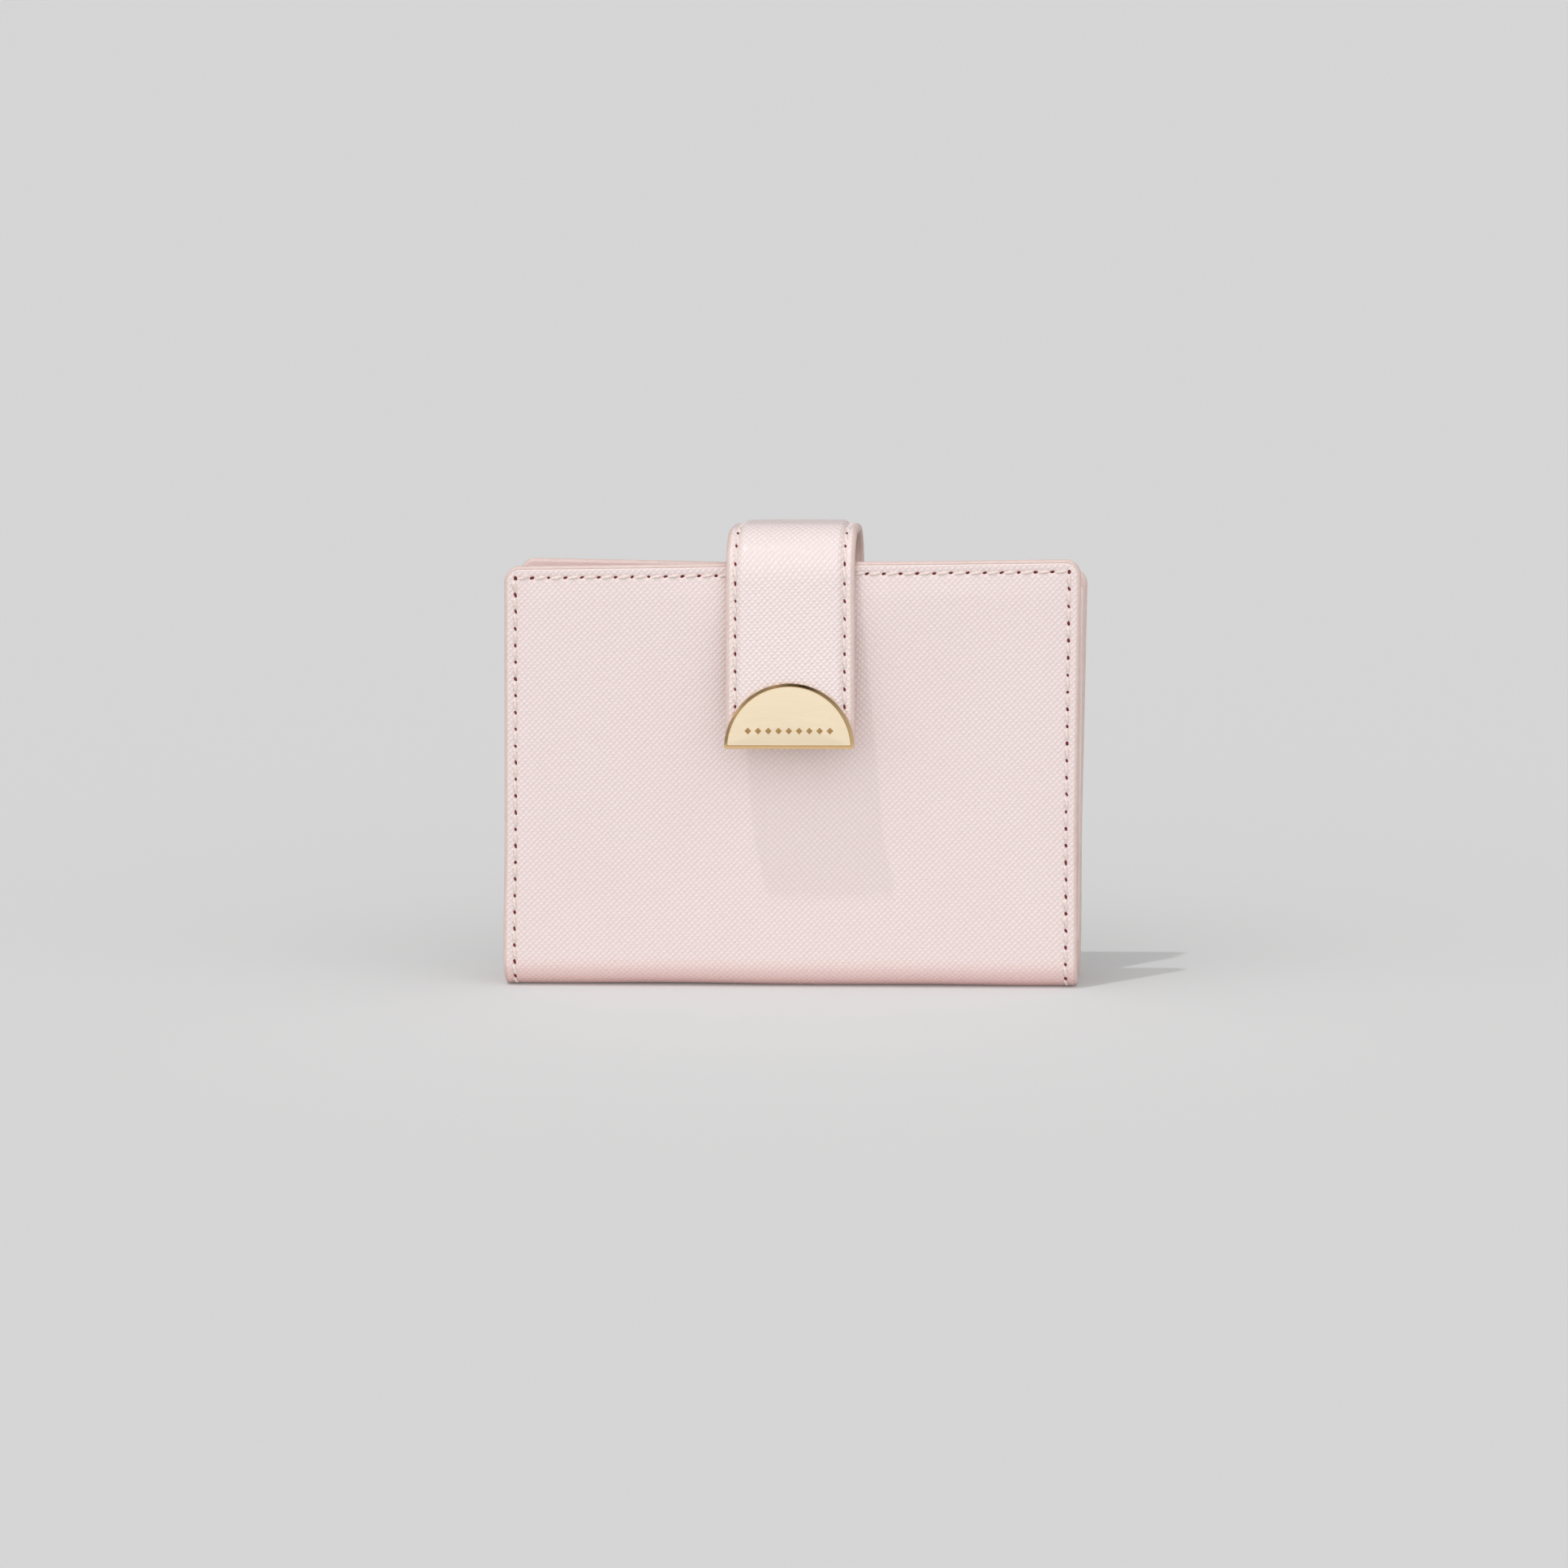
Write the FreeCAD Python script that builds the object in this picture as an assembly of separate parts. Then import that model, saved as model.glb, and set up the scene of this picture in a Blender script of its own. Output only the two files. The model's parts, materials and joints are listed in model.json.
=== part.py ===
"""Compact bifold wallet with a closure strap: leather covers over board, lined pockets and a press stud.

Millimetres. +X goes to the right along the fold, +Y from the front cover to the back cover, +Z up.
The wallet stands closed on its fold, and the origin is the centre of the flat underside of the spine.

Each half is drawn in its own flat frame and then leaned outwards: "out" is the distance outwards from the
half's hinge axis, and "up" is the height above that axis. The strap is drawn as a path in the YZ plane, with
its layers offset from the path's inner side.
"""

import FreeCAD, Part
import math
import os

from FreeCAD import Vector

# ---- driving dimensions ----
WIDTH = 110.0
COVER_TOP = 80.0
FOLD_RADIUS = 4.5
SPINE_HALF = 5.0
LEAN_DEG = 0.9
CORNER_RADIUS = 3.0

LEATHER = 1.0
BOARD = 0.8
LINING = 0.5
BOARD_INSET = 1.4
LINING_INSET = 0.2

DIVIDER = 0.4
BILL_GAP = 1.2
SEAM_MARGIN = 2.0
DIVIDER_TOP = 73.0

COIN_HALF_WIDTH = 47.0
COIN_DEPTH = 5.2
COIN_WALL = 0.5
COIN_BOTTOM = 3.0
COIN_TOP = 65.0
GUSSET = 0.6

SLOT = 0.6
BACK_SLOT_TOPS = (58.0, 48.0, 38.0)
BACK_SLOT_HALF_WIDTH = 45.0
FRONT_SLOT = 0.5
FRONT_SLOT_TOPS = (63.0, 54.0, 45.0, 36.0)
FRONT_SLOT_HALF_WIDTH = 50.0
SLOT_BOTTOM = 2.5
SLOT_BOTTOM_STEP = 0.5

ZIP_HEIGHT = 63.8
ZIP_HALF_LENGTH = 41.0
TAPE = 0.4
TOOTH_HEIGHT = 1.2
TOOTH_PITCH = 2.0
TOOTH_LENGTH = 1.2
TEETH_INNER = 0.5
TEETH_ROOT = 1.1
TEETH_OUTER = 1.4
SLIDER_LENGTH = 7.0
SLIDER_HALF_WIDTH = 2.2
SLIDER_PLATE = 0.8
SLIDER_CLEARANCE = 0.4
SLIDER_POST_HALF = 0.3
SLIDER_POST_LENGTH = 1.6
SLIDER_POST_INSET = 0.6
SLIDER_END_GAP = 0.5
STOP_LENGTH = 2.0
EAR_HALF_LENGTH = 1.1
EAR_INNER = 1.1
EAR_OUTER = 1.7
PIN_RISE = 0.9
PIN_SHIFT = 1.5
PIN_CLEARANCE = 0.08
PULL_EYE_RADIUS = 0.85
PULL_NECK_HALF = 0.9
PULL_NECK_LENGTH = 4.0
PULL_TAB_START = 3.0
PULL_LENGTH = 16.0
PULL_WIDTH = 3.6
PULL_THICK = 0.9
PIN_RADIUS = 0.45

STRAP_HALF_WIDTH = 12.3
STRAP_LAYER = 0.9
PAD_HALF_WIDTH = 9.0
PAD_THICK = 0.7
PAD_WALL = 0.4
ROOT_BOTTOM = 42.0
ROOT_TOP = 72.5
ARCH_TOP = 86.4
ARCH_BACK_RADIUS = 6.0
ARCH_FRONT_RADIUS = 8.5
TAB_START_UP = 74.0
TAB_START_OUT = 4.8
TAB_LEAN_DEG = 8.0
TAB_LENGTH = 32.0

PLATE_RADIUS = 12.4
PLATE_THICK = 1.8
PLATE_BEVEL = 0.5
PLATE_BOTTOM = 32.5
PLATE_PIN_SPREAD = 7.5
PLATE_PIN_RISE = 3.5
PLATE_PIN_RADIUS = 0.8
SNAP_DOWN = 25.0
SOCKET_RADIUS = 5.0
SOCKET_HEIGHT = 2.2
SOCKET_BORE = 2.3
SOCKET_BORE_DEPTH = 1.5
RIVET_SHANK = 1.2
RIVET_HEAD = 3.5
RIVET_HEAD_THICK = 0.4
STUD_BASE_RADIUS = 4.0
STUD_BASE = 0.5
STUD_NECK_RADIUS = 1.4
STUD_HEAD_RADIUS = 1.8
STUD_NECK_TOP = 1.9
STUD_TOP = 2.9

STITCH_PITCH = 3.2
STITCH_LENGTH = 2.3
STITCH_WIDTH = 0.5
STITCH_HEIGHT = 0.2
COVER_STITCH_INSET = 2.2
STRAP_STITCH_INSET = 1.9

# ---- sizes that follow ----
HALF_WIDTH = WIDTH / 2
COVER_HEIGHT = COVER_TOP - FOLD_RADIUS
LEATHER_IN = FOLD_RADIUS - LEATHER
BOARD_IN = LEATHER_IN - BOARD
LINING_IN = BOARD_IN - LINING
DIVIDER_OUT = LINING_IN - BILL_GAP
DIVIDER_IN = DIVIDER_OUT - DIVIDER
COIN_SPACE_OUT = DIVIDER_IN - COIN_WALL
COIN_SPACE_IN = COIN_SPACE_OUT - COIN_DEPTH
COIN_FRONT_IN = COIN_SPACE_IN - COIN_WALL
COIN_MID = (COIN_SPACE_OUT + COIN_SPACE_IN) / 2
LEATHER_START = STRAP_LAYER
LEATHER_END = 2 * STRAP_LAYER
PAD_END = STRAP_LAYER + PAD_THICK
PADDED_END = PAD_END + STRAP_LAYER
SNAP_UP = (TAB_START_UP - SNAP_DOWN * math.cos(math.radians(TAB_LEAN_DEG))
           - SOCKET_HEIGHT * math.sin(math.radians(TAB_LEAN_DEG)))

BACK = 1
FRONT = -1


# ---- drawing in a half's own frame ----
def stand(shape, side):
    """Leans a half's shape outwards and puts it on its hinge axis."""
    shape.rotate(Vector(0, 0, 0), Vector(1, 0, 0), -side * LEAN_DEG)
    shape.translate(Vector(0, side * SPINE_HALF, FOLD_RADIUS))
    return shape


def flat_block(x0, x1, out0, out1, up0, up1, side):
    """A block in a half's own frame, not yet leaned."""
    y0, y1 = sorted((side * out0, side * out1))
    return Part.makeBox(x1 - x0, y1 - y0, up1 - up0, Vector(x0, y0, up0))


def flat_disc(x, out0, out1, up, radius, side):
    """A round piece whose axis is normal to the half, not yet leaned."""
    low, high = sorted((out0, out1))
    return Part.makeCylinder(radius, high - low, Vector(x, side * low, up), Vector(0, side, 0))


def rounded_panel(half_width, out0, out1, up0, up1, radius, side):
    """A panel with both top corners rounded, not yet leaned."""
    y0, y1 = sorted((side * out0, side * out1))
    notch = radius * (1 - math.sqrt(0.5))
    low_left, low_right = Vector(-half_width, y0, up0), Vector(half_width, y0, up0)
    right_start = Vector(half_width, y0, up1 - radius)
    right_mid = Vector(half_width - notch, y0, up1 - notch)
    right_end = Vector(half_width - radius, y0, up1)
    left_start = Vector(radius - half_width, y0, up1)
    left_mid = Vector(notch - half_width, y0, up1 - notch)
    left_end = Vector(-half_width, y0, up1 - radius)
    edges = [
        Part.LineSegment(low_left, low_right).toShape(),
        Part.LineSegment(low_right, right_start).toShape(),
        Part.Arc(right_start, right_mid, right_end).toShape(),
        Part.LineSegment(right_end, left_start).toShape(),
        Part.Arc(left_start, left_mid, left_end).toShape(),
        Part.LineSegment(left_end, low_left).toShape(),
    ]
    return Part.Face(Part.Wire(edges)).extrude(Vector(0, y1 - y0, 0))


# ---- spine and creases ----
def spine_strip(z0, z1, half_width):
    return Part.makeBox(2 * half_width, 2 * SPINE_HALF, z1 - z0, Vector(-half_width, -SPINE_HALF, z0))


def crease(radius_out, radius_in, half_width, side):
    """The quarter bend between the spine and a cover, round that cover's hinge axis."""

    def at(radius, degrees_up):
        angle = math.radians(degrees_up)
        y = side * (SPINE_HALF + radius * math.cos(angle))
        return Vector(-half_width, y, FOLD_RADIUS + radius * math.sin(angle))

    top, bottom = -LEAN_DEG, -90.0
    middle = (top + bottom) / 2
    edges = [
        Part.Arc(at(radius_out, top), at(radius_out, middle), at(radius_out, bottom)).toShape(),
        Part.LineSegment(at(radius_out, bottom), at(radius_in, bottom)).toShape(),
        Part.Arc(at(radius_in, bottom), at(radius_in, middle), at(radius_in, top)).toShape(),
        Part.LineSegment(at(radius_in, top), at(radius_out, top)).toShape(),
    ]
    return Part.Face(Part.Wire(edges)).extrude(Vector(2 * half_width, 0, 0))


# ---- covers ----
def cover_leather(side):
    return rounded_panel(HALF_WIDTH, LEATHER_IN, FOLD_RADIUS, 0, COVER_HEIGHT, CORNER_RADIUS, side)


def cover_board(side):
    return rounded_panel(HALF_WIDTH - BOARD_INSET, BOARD_IN, LEATHER_IN, BOARD_INSET,
                         COVER_HEIGHT - BOARD_INSET, CORNER_RADIUS - BOARD_INSET, side)


def cover_lining(side):
    return rounded_panel(HALF_WIDTH - LINING_INSET, LINING_IN, BOARD_IN, 0,
                         COVER_HEIGHT - LINING_INSET, CORNER_RADIUS - LINING_INSET, side)


def stitch_row(start, end, normal):
    """Separate stitches in a line on a surface, from a start to an end; normal points off the surface."""
    line = end - start
    count = max(1, int(line.Length / STITCH_PITCH))
    along = line.normalize()
    pitch = (end - start).Length / count
    stitches = []
    for i in range(count):
        centre = start + along * (pitch * (i + 0.5)) + normal * (STITCH_HEIGHT / 2)
        stitches.append(stitch_block(centre, along))
    return stitches


def stitch_block(centre, along):
    """One stitch in a flat frame: it runs along X or along Z."""
    if abs(along.x) > abs(along.z):
        size = Vector(STITCH_LENGTH, STITCH_HEIGHT, STITCH_WIDTH)
    else:
        size = Vector(STITCH_WIDTH, STITCH_HEIGHT, STITCH_LENGTH)
    return Part.makeBox(size.x, size.y, size.z, centre - size * 0.5)


def cover_thread(side, gap_half_width=0.0):
    """Seam along both sides and the top of a cover, with a gap in the top row where the strap passes."""
    edge = HALF_WIDTH - COVER_STITCH_INSET
    top = COVER_HEIGHT - COVER_STITCH_INSET
    out = side * FOLD_RADIUS
    normal = Vector(0, side, 0)
    rows = [(Vector(x, out, STITCH_PITCH), Vector(x, out, top)) for x in (-edge, edge)]
    if gap_half_width:
        rows.append((Vector(-edge, out, top), Vector(-gap_half_width, out, top)))
        rows.append((Vector(gap_half_width, out, top), Vector(edge, out, top)))
    else:
        rows.append((Vector(-edge, out, top), Vector(edge, out, top)))
    return Part.makeCompound([s for a, b in rows for s in stitch_row(a, b, normal)])


# ---- inside of the back half ----
def bill_divider():
    """Divider of the banknote compartment, its side and bottom margins folded out to the lining."""
    edge = HALF_WIDTH - LINING_INSET
    panel = flat_block(-edge, edge, DIVIDER_IN, DIVIDER_OUT, SLOT_BOTTOM, DIVIDER_TOP, BACK)
    left = flat_block(-edge, SEAM_MARGIN - edge, DIVIDER_OUT, LINING_IN, SLOT_BOTTOM, DIVIDER_TOP, BACK)
    right = flat_block(edge - SEAM_MARGIN, edge, DIVIDER_OUT, LINING_IN, SLOT_BOTTOM, DIVIDER_TOP, BACK)
    foot = flat_block(-edge, edge, DIVIDER_OUT, LINING_IN, SLOT_BOTTOM, SLOT_BOTTOM + SEAM_MARGIN, BACK)
    return panel.fuse([left, right, foot]).removeSplitter()


def coin_wall(out0, out1):
    return flat_block(-COIN_HALF_WIDTH, COIN_HALF_WIDTH, out0, out1, COIN_BOTTOM, COIN_TOP, BACK)


def coin_gusset():
    """One strip that closes the coin pocket at both sides and along the bottom."""
    top = ZIP_HEIGHT - TOOTH_HEIGHT
    outer = flat_block(-COIN_HALF_WIDTH, COIN_HALF_WIDTH, COIN_SPACE_IN, COIN_SPACE_OUT,
                       COIN_BOTTOM, top, BACK)
    inside = COIN_HALF_WIDTH - GUSSET
    hollow = flat_block(-inside, inside, COIN_SPACE_IN, COIN_SPACE_OUT,
                        COIN_BOTTOM + GUSSET, COIN_TOP, BACK)
    return outer.cut(hollow)


def card_slot(order, tops, first_out, thickness, half_width, side):
    """A card slot's panel: each one lies on the one before it and ends lower."""
    out1 = first_out - order * thickness
    bottom = SLOT_BOTTOM + order * SLOT_BOTTOM_STEP
    return flat_block(-half_width, half_width, out1 - thickness, out1, bottom, tops[order], side)


def zip_tape(sign):
    """Tape between a coin pocket wall and the teeth; sign is +1 for the wall by the banknotes."""
    near, far = COIN_MID + sign * TEETH_OUTER, COIN_MID + sign * COIN_DEPTH / 2
    return flat_block(-ZIP_HALF_LENGTH, ZIP_HALF_LENGTH, near, far,
                      ZIP_HEIGHT - TAPE / 2, ZIP_HEIGHT + TAPE / 2, BACK)


def zip_teeth(sign):
    """One row of teeth on its cord, as a comb that points to the middle of the zip."""
    z0 = ZIP_HEIGHT - TOOTH_HEIGHT / 2
    root = COIN_MID + sign * TEETH_ROOT
    comb = flat_block(-ZIP_HALF_LENGTH, ZIP_HALF_LENGTH, root, COIN_MID + sign * TEETH_OUTER,
                      z0, z0 + TOOTH_HEIGHT, BACK)
    shift = 0.25 * sign * TOOTH_PITCH
    count = int((2 * ZIP_HALF_LENGTH - TOOTH_PITCH) / TOOTH_PITCH)
    first = -(count - 1) * TOOTH_PITCH / 2 + shift
    half_length = TOOTH_LENGTH / 2
    teeth = []
    for i in range(count):
        x = first + i * TOOTH_PITCH
        teeth.append(flat_block(x - half_length, x + half_length, COIN_MID + sign * TEETH_INNER, root,
                                z0, z0 + TOOTH_HEIGHT, BACK))
    return comb.fuse(teeth).removeSplitter()


def zip_stops():
    """A metal stop clamped over both tapes at each end of the zip."""
    half_length = STOP_LENGTH / 2
    stops = []
    for end in (-1, 1):
        x = end * (ZIP_HALF_LENGTH + half_length)
        stops.append(flat_block(x - half_length, x + half_length,
                                COIN_MID - TEETH_OUTER, COIN_MID + TEETH_OUTER,
                                ZIP_HEIGHT - TOOTH_HEIGHT / 2, ZIP_HEIGHT + TOOTH_HEIGHT / 2, BACK))
    return Part.makeCompound(stops)


SLIDER_X = ZIP_HALF_LENGTH - SLIDER_LENGTH / 2 - SLIDER_END_GAP
SLIDER_TOP = ZIP_HEIGHT + TOOTH_HEIGHT / 2 + SLIDER_CLEARANCE + SLIDER_PLATE
PULL_PIN_UP = SLIDER_TOP + PIN_RISE
PULL_PIN_X = SLIDER_X + PIN_SHIFT


def zip_slider():
    """Slider: two plates joined by a post between the teeth, and a bail on top for the pull's pin."""
    x0, x1 = SLIDER_X - SLIDER_LENGTH / 2, SLIDER_X + SLIDER_LENGTH / 2
    out0, out1 = COIN_MID - SLIDER_HALF_WIDTH, COIN_MID + SLIDER_HALF_WIDTH
    top = flat_block(x0, x1, out0, out1, SLIDER_TOP - SLIDER_PLATE, SLIDER_TOP, BACK)
    low = 2 * ZIP_HEIGHT - SLIDER_TOP
    bottom = flat_block(x0, x1, out0, out1, low, low + SLIDER_PLATE, BACK)
    post_x1 = x1 - SLIDER_POST_INSET
    post = flat_block(post_x1 - SLIDER_POST_LENGTH, post_x1,
                      COIN_MID - SLIDER_POST_HALF, COIN_MID + SLIDER_POST_HALF, low, SLIDER_TOP, BACK)
    body = top.fuse([bottom, post])
    ears = []
    for sign in (-1, 1):
        ears.append(flat_block(PULL_PIN_X - EAR_HALF_LENGTH, PULL_PIN_X + EAR_HALF_LENGTH,
                               COIN_MID + sign * EAR_INNER, COIN_MID + sign * EAR_OUTER,
                               SLIDER_TOP, PULL_PIN_UP + PIN_RISE, BACK))
    pin = flat_disc(PULL_PIN_X, COIN_MID - EAR_OUTER, COIN_MID + EAR_OUTER, PULL_PIN_UP, PIN_RADIUS, BACK)
    return body.fuse(ears + [pin]).removeSplitter()


def zip_pull():
    """Pull tab that turns on the slider's pin and lies flat along the zip at rest."""
    low, high = PULL_PIN_UP - PULL_THICK / 2, PULL_PIN_UP + PULL_THICK / 2
    neck0, neck1 = COIN_MID - PULL_NECK_HALF, COIN_MID + PULL_NECK_HALF
    eye = flat_disc(PULL_PIN_X, neck0, neck1, PULL_PIN_UP, PULL_EYE_RADIUS, BACK)
    neck = flat_block(PULL_PIN_X - PULL_NECK_LENGTH, PULL_PIN_X, neck0, neck1, low, high, BACK)
    tab = flat_block(PULL_PIN_X - PULL_LENGTH, PULL_PIN_X - PULL_TAB_START,
                     COIN_MID - PULL_WIDTH / 2, COIN_MID + PULL_WIDTH / 2, low, high, BACK)
    bore = flat_disc(PULL_PIN_X, neck0, neck1, PULL_PIN_UP, PIN_RADIUS + PIN_CLEARANCE, BACK)
    return eye.fuse([neck, tab]).cut(bore).removeSplitter()


# ---- strap ----
def lean_vector(side, out, up):
    """A direction given in a half's own frame, in the frame of the wallet."""
    lean = math.radians(LEAN_DEG)
    return Vector(0, side * (out * math.cos(lean) + up * math.sin(lean)),
                  up * math.cos(lean) - out * math.sin(lean))


def half_point(side, out, up):
    return Vector(0, side * SPINE_HALF, FOLD_RADIUS) + lean_vector(side, out, up)


TAB_LEAN = math.radians(TAB_LEAN_DEG)
TAB_ORIGIN = half_point(FRONT, TAB_START_OUT, TAB_START_UP)
TAB_DOWN = lean_vector(FRONT, math.sin(TAB_LEAN), -math.cos(TAB_LEAN))
TAB_OUT = lean_vector(FRONT, math.cos(TAB_LEAN), math.sin(TAB_LEAN))
ROOT_UP = lean_vector(BACK, 0, 1)
ROOT_OUT = lean_vector(BACK, 1, 0)
ROOT_END = half_point(BACK, FOLD_RADIUS, ROOT_TOP)


def corner_arc(before, corner, after, radius):
    """The arc that rounds a corner: its centre, and its start and end directions from the centre."""
    back = (before - corner).normalize()
    ahead = (after - corner).normalize()
    half_open = back.getAngle(ahead) / 2
    reach = radius / math.tan(half_open)
    inward = (back + ahead).normalize()
    centre = corner + inward * (radius / math.sin(half_open))
    start = (corner + back * reach - centre).normalize()
    end = (corner + ahead * reach - centre).normalize()
    return {"centre": centre, "radius": radius, "start": start, "end": end}


def arc_direction(arc, share):
    """Direction from the arc's centre at a share of the way from its start to its end."""
    first = math.atan2(arc["start"].z, arc["start"].y)
    last = math.atan2(arc["end"].z, arc["end"].y)
    angle = first + (last - first) * share
    return Vector(0, math.cos(angle), math.sin(angle))


CORNER_BACK = ROOT_END + ROOT_UP * ((ARCH_TOP - ROOT_END.z) / ROOT_UP.z)
CORNER_FRONT = TAB_ORIGIN + TAB_DOWN * ((ARCH_TOP - TAB_ORIGIN.z) / TAB_DOWN.z)
ARC_BACK = corner_arc(ROOT_END, CORNER_BACK, CORNER_FRONT, ARCH_BACK_RADIUS)
ARC_FRONT = corner_arc(CORNER_BACK, CORNER_FRONT, TAB_ORIGIN, ARCH_FRONT_RADIUS)


def arc_point(arc, share, offset):
    return arc["centre"] + arc_direction(arc, share) * (arc["radius"] + offset)


def straight(origin, out):
    """A station on a straight stretch, at a point of the strap's inner line."""
    return lambda offset: origin + out * offset


def bend(arc, share):
    return lambda offset: arc_point(arc, share, offset)


def stretch_profile(stations, offset0, offset1):
    """YZ face of a stretch of the strap between two offsets.

    Each station gives a point for an offset. A plain station is the end of a line, and a pair (middle, end)
    is the rest of an arc.
    """

    def line_of(offset):
        edges, last = [], stations[0](offset)
        for station in stations[1:]:
            if isinstance(station, tuple):
                middle, end = station[0](offset), station[1](offset)
                edges.append(Part.Arc(last, middle, end).toShape())
            else:
                end = station(offset)
                edges.append(Part.LineSegment(last, end).toShape())
            last = end
        return edges

    first = stations[0]
    last = stations[-1][1] if isinstance(stations[-1], tuple) else stations[-1]
    caps = [
        Part.LineSegment(first(offset0), first(offset1)).toShape(),
        Part.LineSegment(last(offset0), last(offset1)).toShape(),
    ]
    edges = Part.sortEdges(line_of(offset0) + line_of(offset1) + caps)[0]
    return Part.Face(Part.Wire(edges))


def root_stations(up_start):
    """Root: straight up the back cover from a height, then half of the back bend."""
    start = ROOT_END + ROOT_UP * (up_start - ROOT_TOP)
    return [straight(start, ROOT_OUT), bend(ARC_BACK, 0), (bend(ARC_BACK, 0.25), bend(ARC_BACK, 0.5))]


def arch_stations():
    """Arch: half of the back bend, the flat top and half of the front bend."""
    return [bend(ARC_BACK, 0.5), (bend(ARC_BACK, 0.75), bend(ARC_BACK, 1)), bend(ARC_FRONT, 0),
            (bend(ARC_FRONT, 0.25), bend(ARC_FRONT, 0.5))]


def tab_stations(length):
    """Tab: half of the front bend, then straight down to a length below the tab's origin."""
    return [bend(ARC_FRONT, 0.5), (bend(ARC_FRONT, 0.75), bend(ARC_FRONT, 1)),
            straight(TAB_ORIGIN + TAB_DOWN * length, TAB_OUT)]


def strips(profile, half_width0, half_width1=None):
    """Extrudes a YZ profile across the strap: the whole width, or one strip at each side."""
    if half_width1 is None:
        spans = [(-half_width0, half_width0)]
    else:
        spans = [(-half_width1, -half_width0), (half_width0, half_width1)]
    solids = []
    for x0, x1 in spans:
        piece = profile.copy()
        piece.translate(Vector(x0, 0, 0))
        solids.append(piece.extrude(Vector(x1 - x0, 0, 0)))
    return solids


def layer(stations, offset0, offset1, half_width0, half_width1=None):
    return strips(stretch_profile(stations, offset0, offset1), half_width0, half_width1)


def join(solids):
    return solids[0].fuse(solids[1:]).removeSplitter()


PAD_EDGE = PAD_HALF_WIDTH + PAD_WALL
PAD_STOP = PLATE_BOTTOM - PLATE_RADIUS - 0.3
PAD_START = ROOT_BOTTOM + STITCH_PITCH


def padded_leather(padded, flat_end=None):
    """The strap's top leather over its padding; flat_end is a stretch at one end that has no padding."""
    flanges = layer(padded, LEATHER_START, LEATHER_END, PAD_HALF_WIDTH, STRAP_HALF_WIDTH)
    walls = layer(padded, LEATHER_START, PADDED_END, PAD_HALF_WIDTH, PAD_EDGE)
    raised = layer(padded, PAD_END, PADDED_END, PAD_EDGE)
    ends = layer(flat_end, LEATHER_START, LEATHER_END, STRAP_HALF_WIDTH) if flat_end else []
    return join(flanges + walls + raised + ends)


def filler(stations):
    return join(layer(stations, STRAP_LAYER, PAD_END, PAD_HALF_WIDTH))


def lining(stations):
    return join(layer(stations, 0, STRAP_LAYER, STRAP_HALF_WIDTH))


def root_leather():
    low, high = ROOT_END + ROOT_UP * (ROOT_BOTTOM - ROOT_TOP), ROOT_END + ROOT_UP * (PAD_START - ROOT_TOP)
    return padded_leather(root_stations(PAD_START), [straight(low, ROOT_OUT), straight(high, ROOT_OUT)])


def tab_leather():
    foot = [straight(TAB_ORIGIN + TAB_DOWN * s, TAB_OUT) for s in (PAD_STOP, TAB_LENGTH)]
    body = padded_leather(tab_stations(PAD_STOP), foot)
    return body.cut([rivet_head()] + plate_pins(LEATHER_START, LEATHER_END))


def tab_lining():
    return lining(tab_stations(TAB_LENGTH)).cut([rivet_shank()] + plate_pins(0, STRAP_LAYER))


def line_stitches(start, end, out):
    """Profiles of the stitches on a straight stretch; start and end lie on the strap's inner line."""
    count = int((end - start).Length / STITCH_PITCH)
    along = (end - start).normalize()
    profiles = []
    for i in range(count):
        middle = start + along * (STITCH_PITCH * (i + 0.5))
        ends = [straight(middle + along * shift, out) for shift in (-STITCH_LENGTH / 2, STITCH_LENGTH / 2)]
        profiles.append(stretch_profile(ends, LEATHER_END, LEATHER_END + STITCH_HEIGHT))
    return profiles


def arc_stitches(arc, share0, share1):
    """Profiles of the stitches on a stretch of a bend."""
    turn = arc["start"].getAngle(arc["end"])
    length = turn * (arc["radius"] + LEATHER_END)
    count = max(1, int((share1 - share0) * length / STITCH_PITCH))
    half = STITCH_LENGTH / 2 / length
    profiles = []
    for i in range(count):
        middle = share0 + (share1 - share0) * (i + 0.5) / count
        ends = [bend(arc, middle - half), (bend(arc, middle), bend(arc, middle + half))]
        profiles.append(stretch_profile(ends, LEATHER_END, LEATHER_END + STITCH_HEIGHT))
    return profiles


def strap_thread(profiles):
    """Every stitch profile along both edges of the strap."""
    inner = STRAP_HALF_WIDTH - STRAP_STITCH_INSET - STITCH_WIDTH / 2
    return Part.makeCompound([s for p in profiles for s in strips(p, inner, inner + STITCH_WIDTH)])


def root_thread():
    start = ROOT_END + ROOT_UP * (PAD_START - ROOT_TOP)
    end = ARC_BACK["centre"] + ARC_BACK["start"] * ARC_BACK["radius"]
    return strap_thread(line_stitches(start, end, ROOT_OUT) + arc_stitches(ARC_BACK, 0, 0.5))


def arch_thread():
    start = ARC_BACK["centre"] + ARC_BACK["end"] * ARC_BACK["radius"]
    end = ARC_FRONT["centre"] + ARC_FRONT["start"] * ARC_FRONT["radius"]
    return strap_thread(arc_stitches(ARC_BACK, 0.5, 1) + line_stitches(start, end, Vector(0, 0, 1))
                        + arc_stitches(ARC_FRONT, 0, 0.5))


def tab_thread():
    start = ARC_FRONT["centre"] + ARC_FRONT["end"] * ARC_FRONT["radius"]
    end = TAB_ORIGIN + TAB_DOWN * PAD_STOP
    return strap_thread(arc_stitches(ARC_FRONT, 0.5, 1) + line_stitches(start, end, TAB_OUT))


# ---- fittings on the tab ----
def tab_disc(x, down, offset0, offset1, radius):
    start = TAB_ORIGIN + TAB_DOWN * down + TAB_OUT * min(offset0, offset1) + Vector(x, 0, 0)
    return Part.makeCylinder(radius, abs(offset1 - offset0), start, TAB_OUT)


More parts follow.
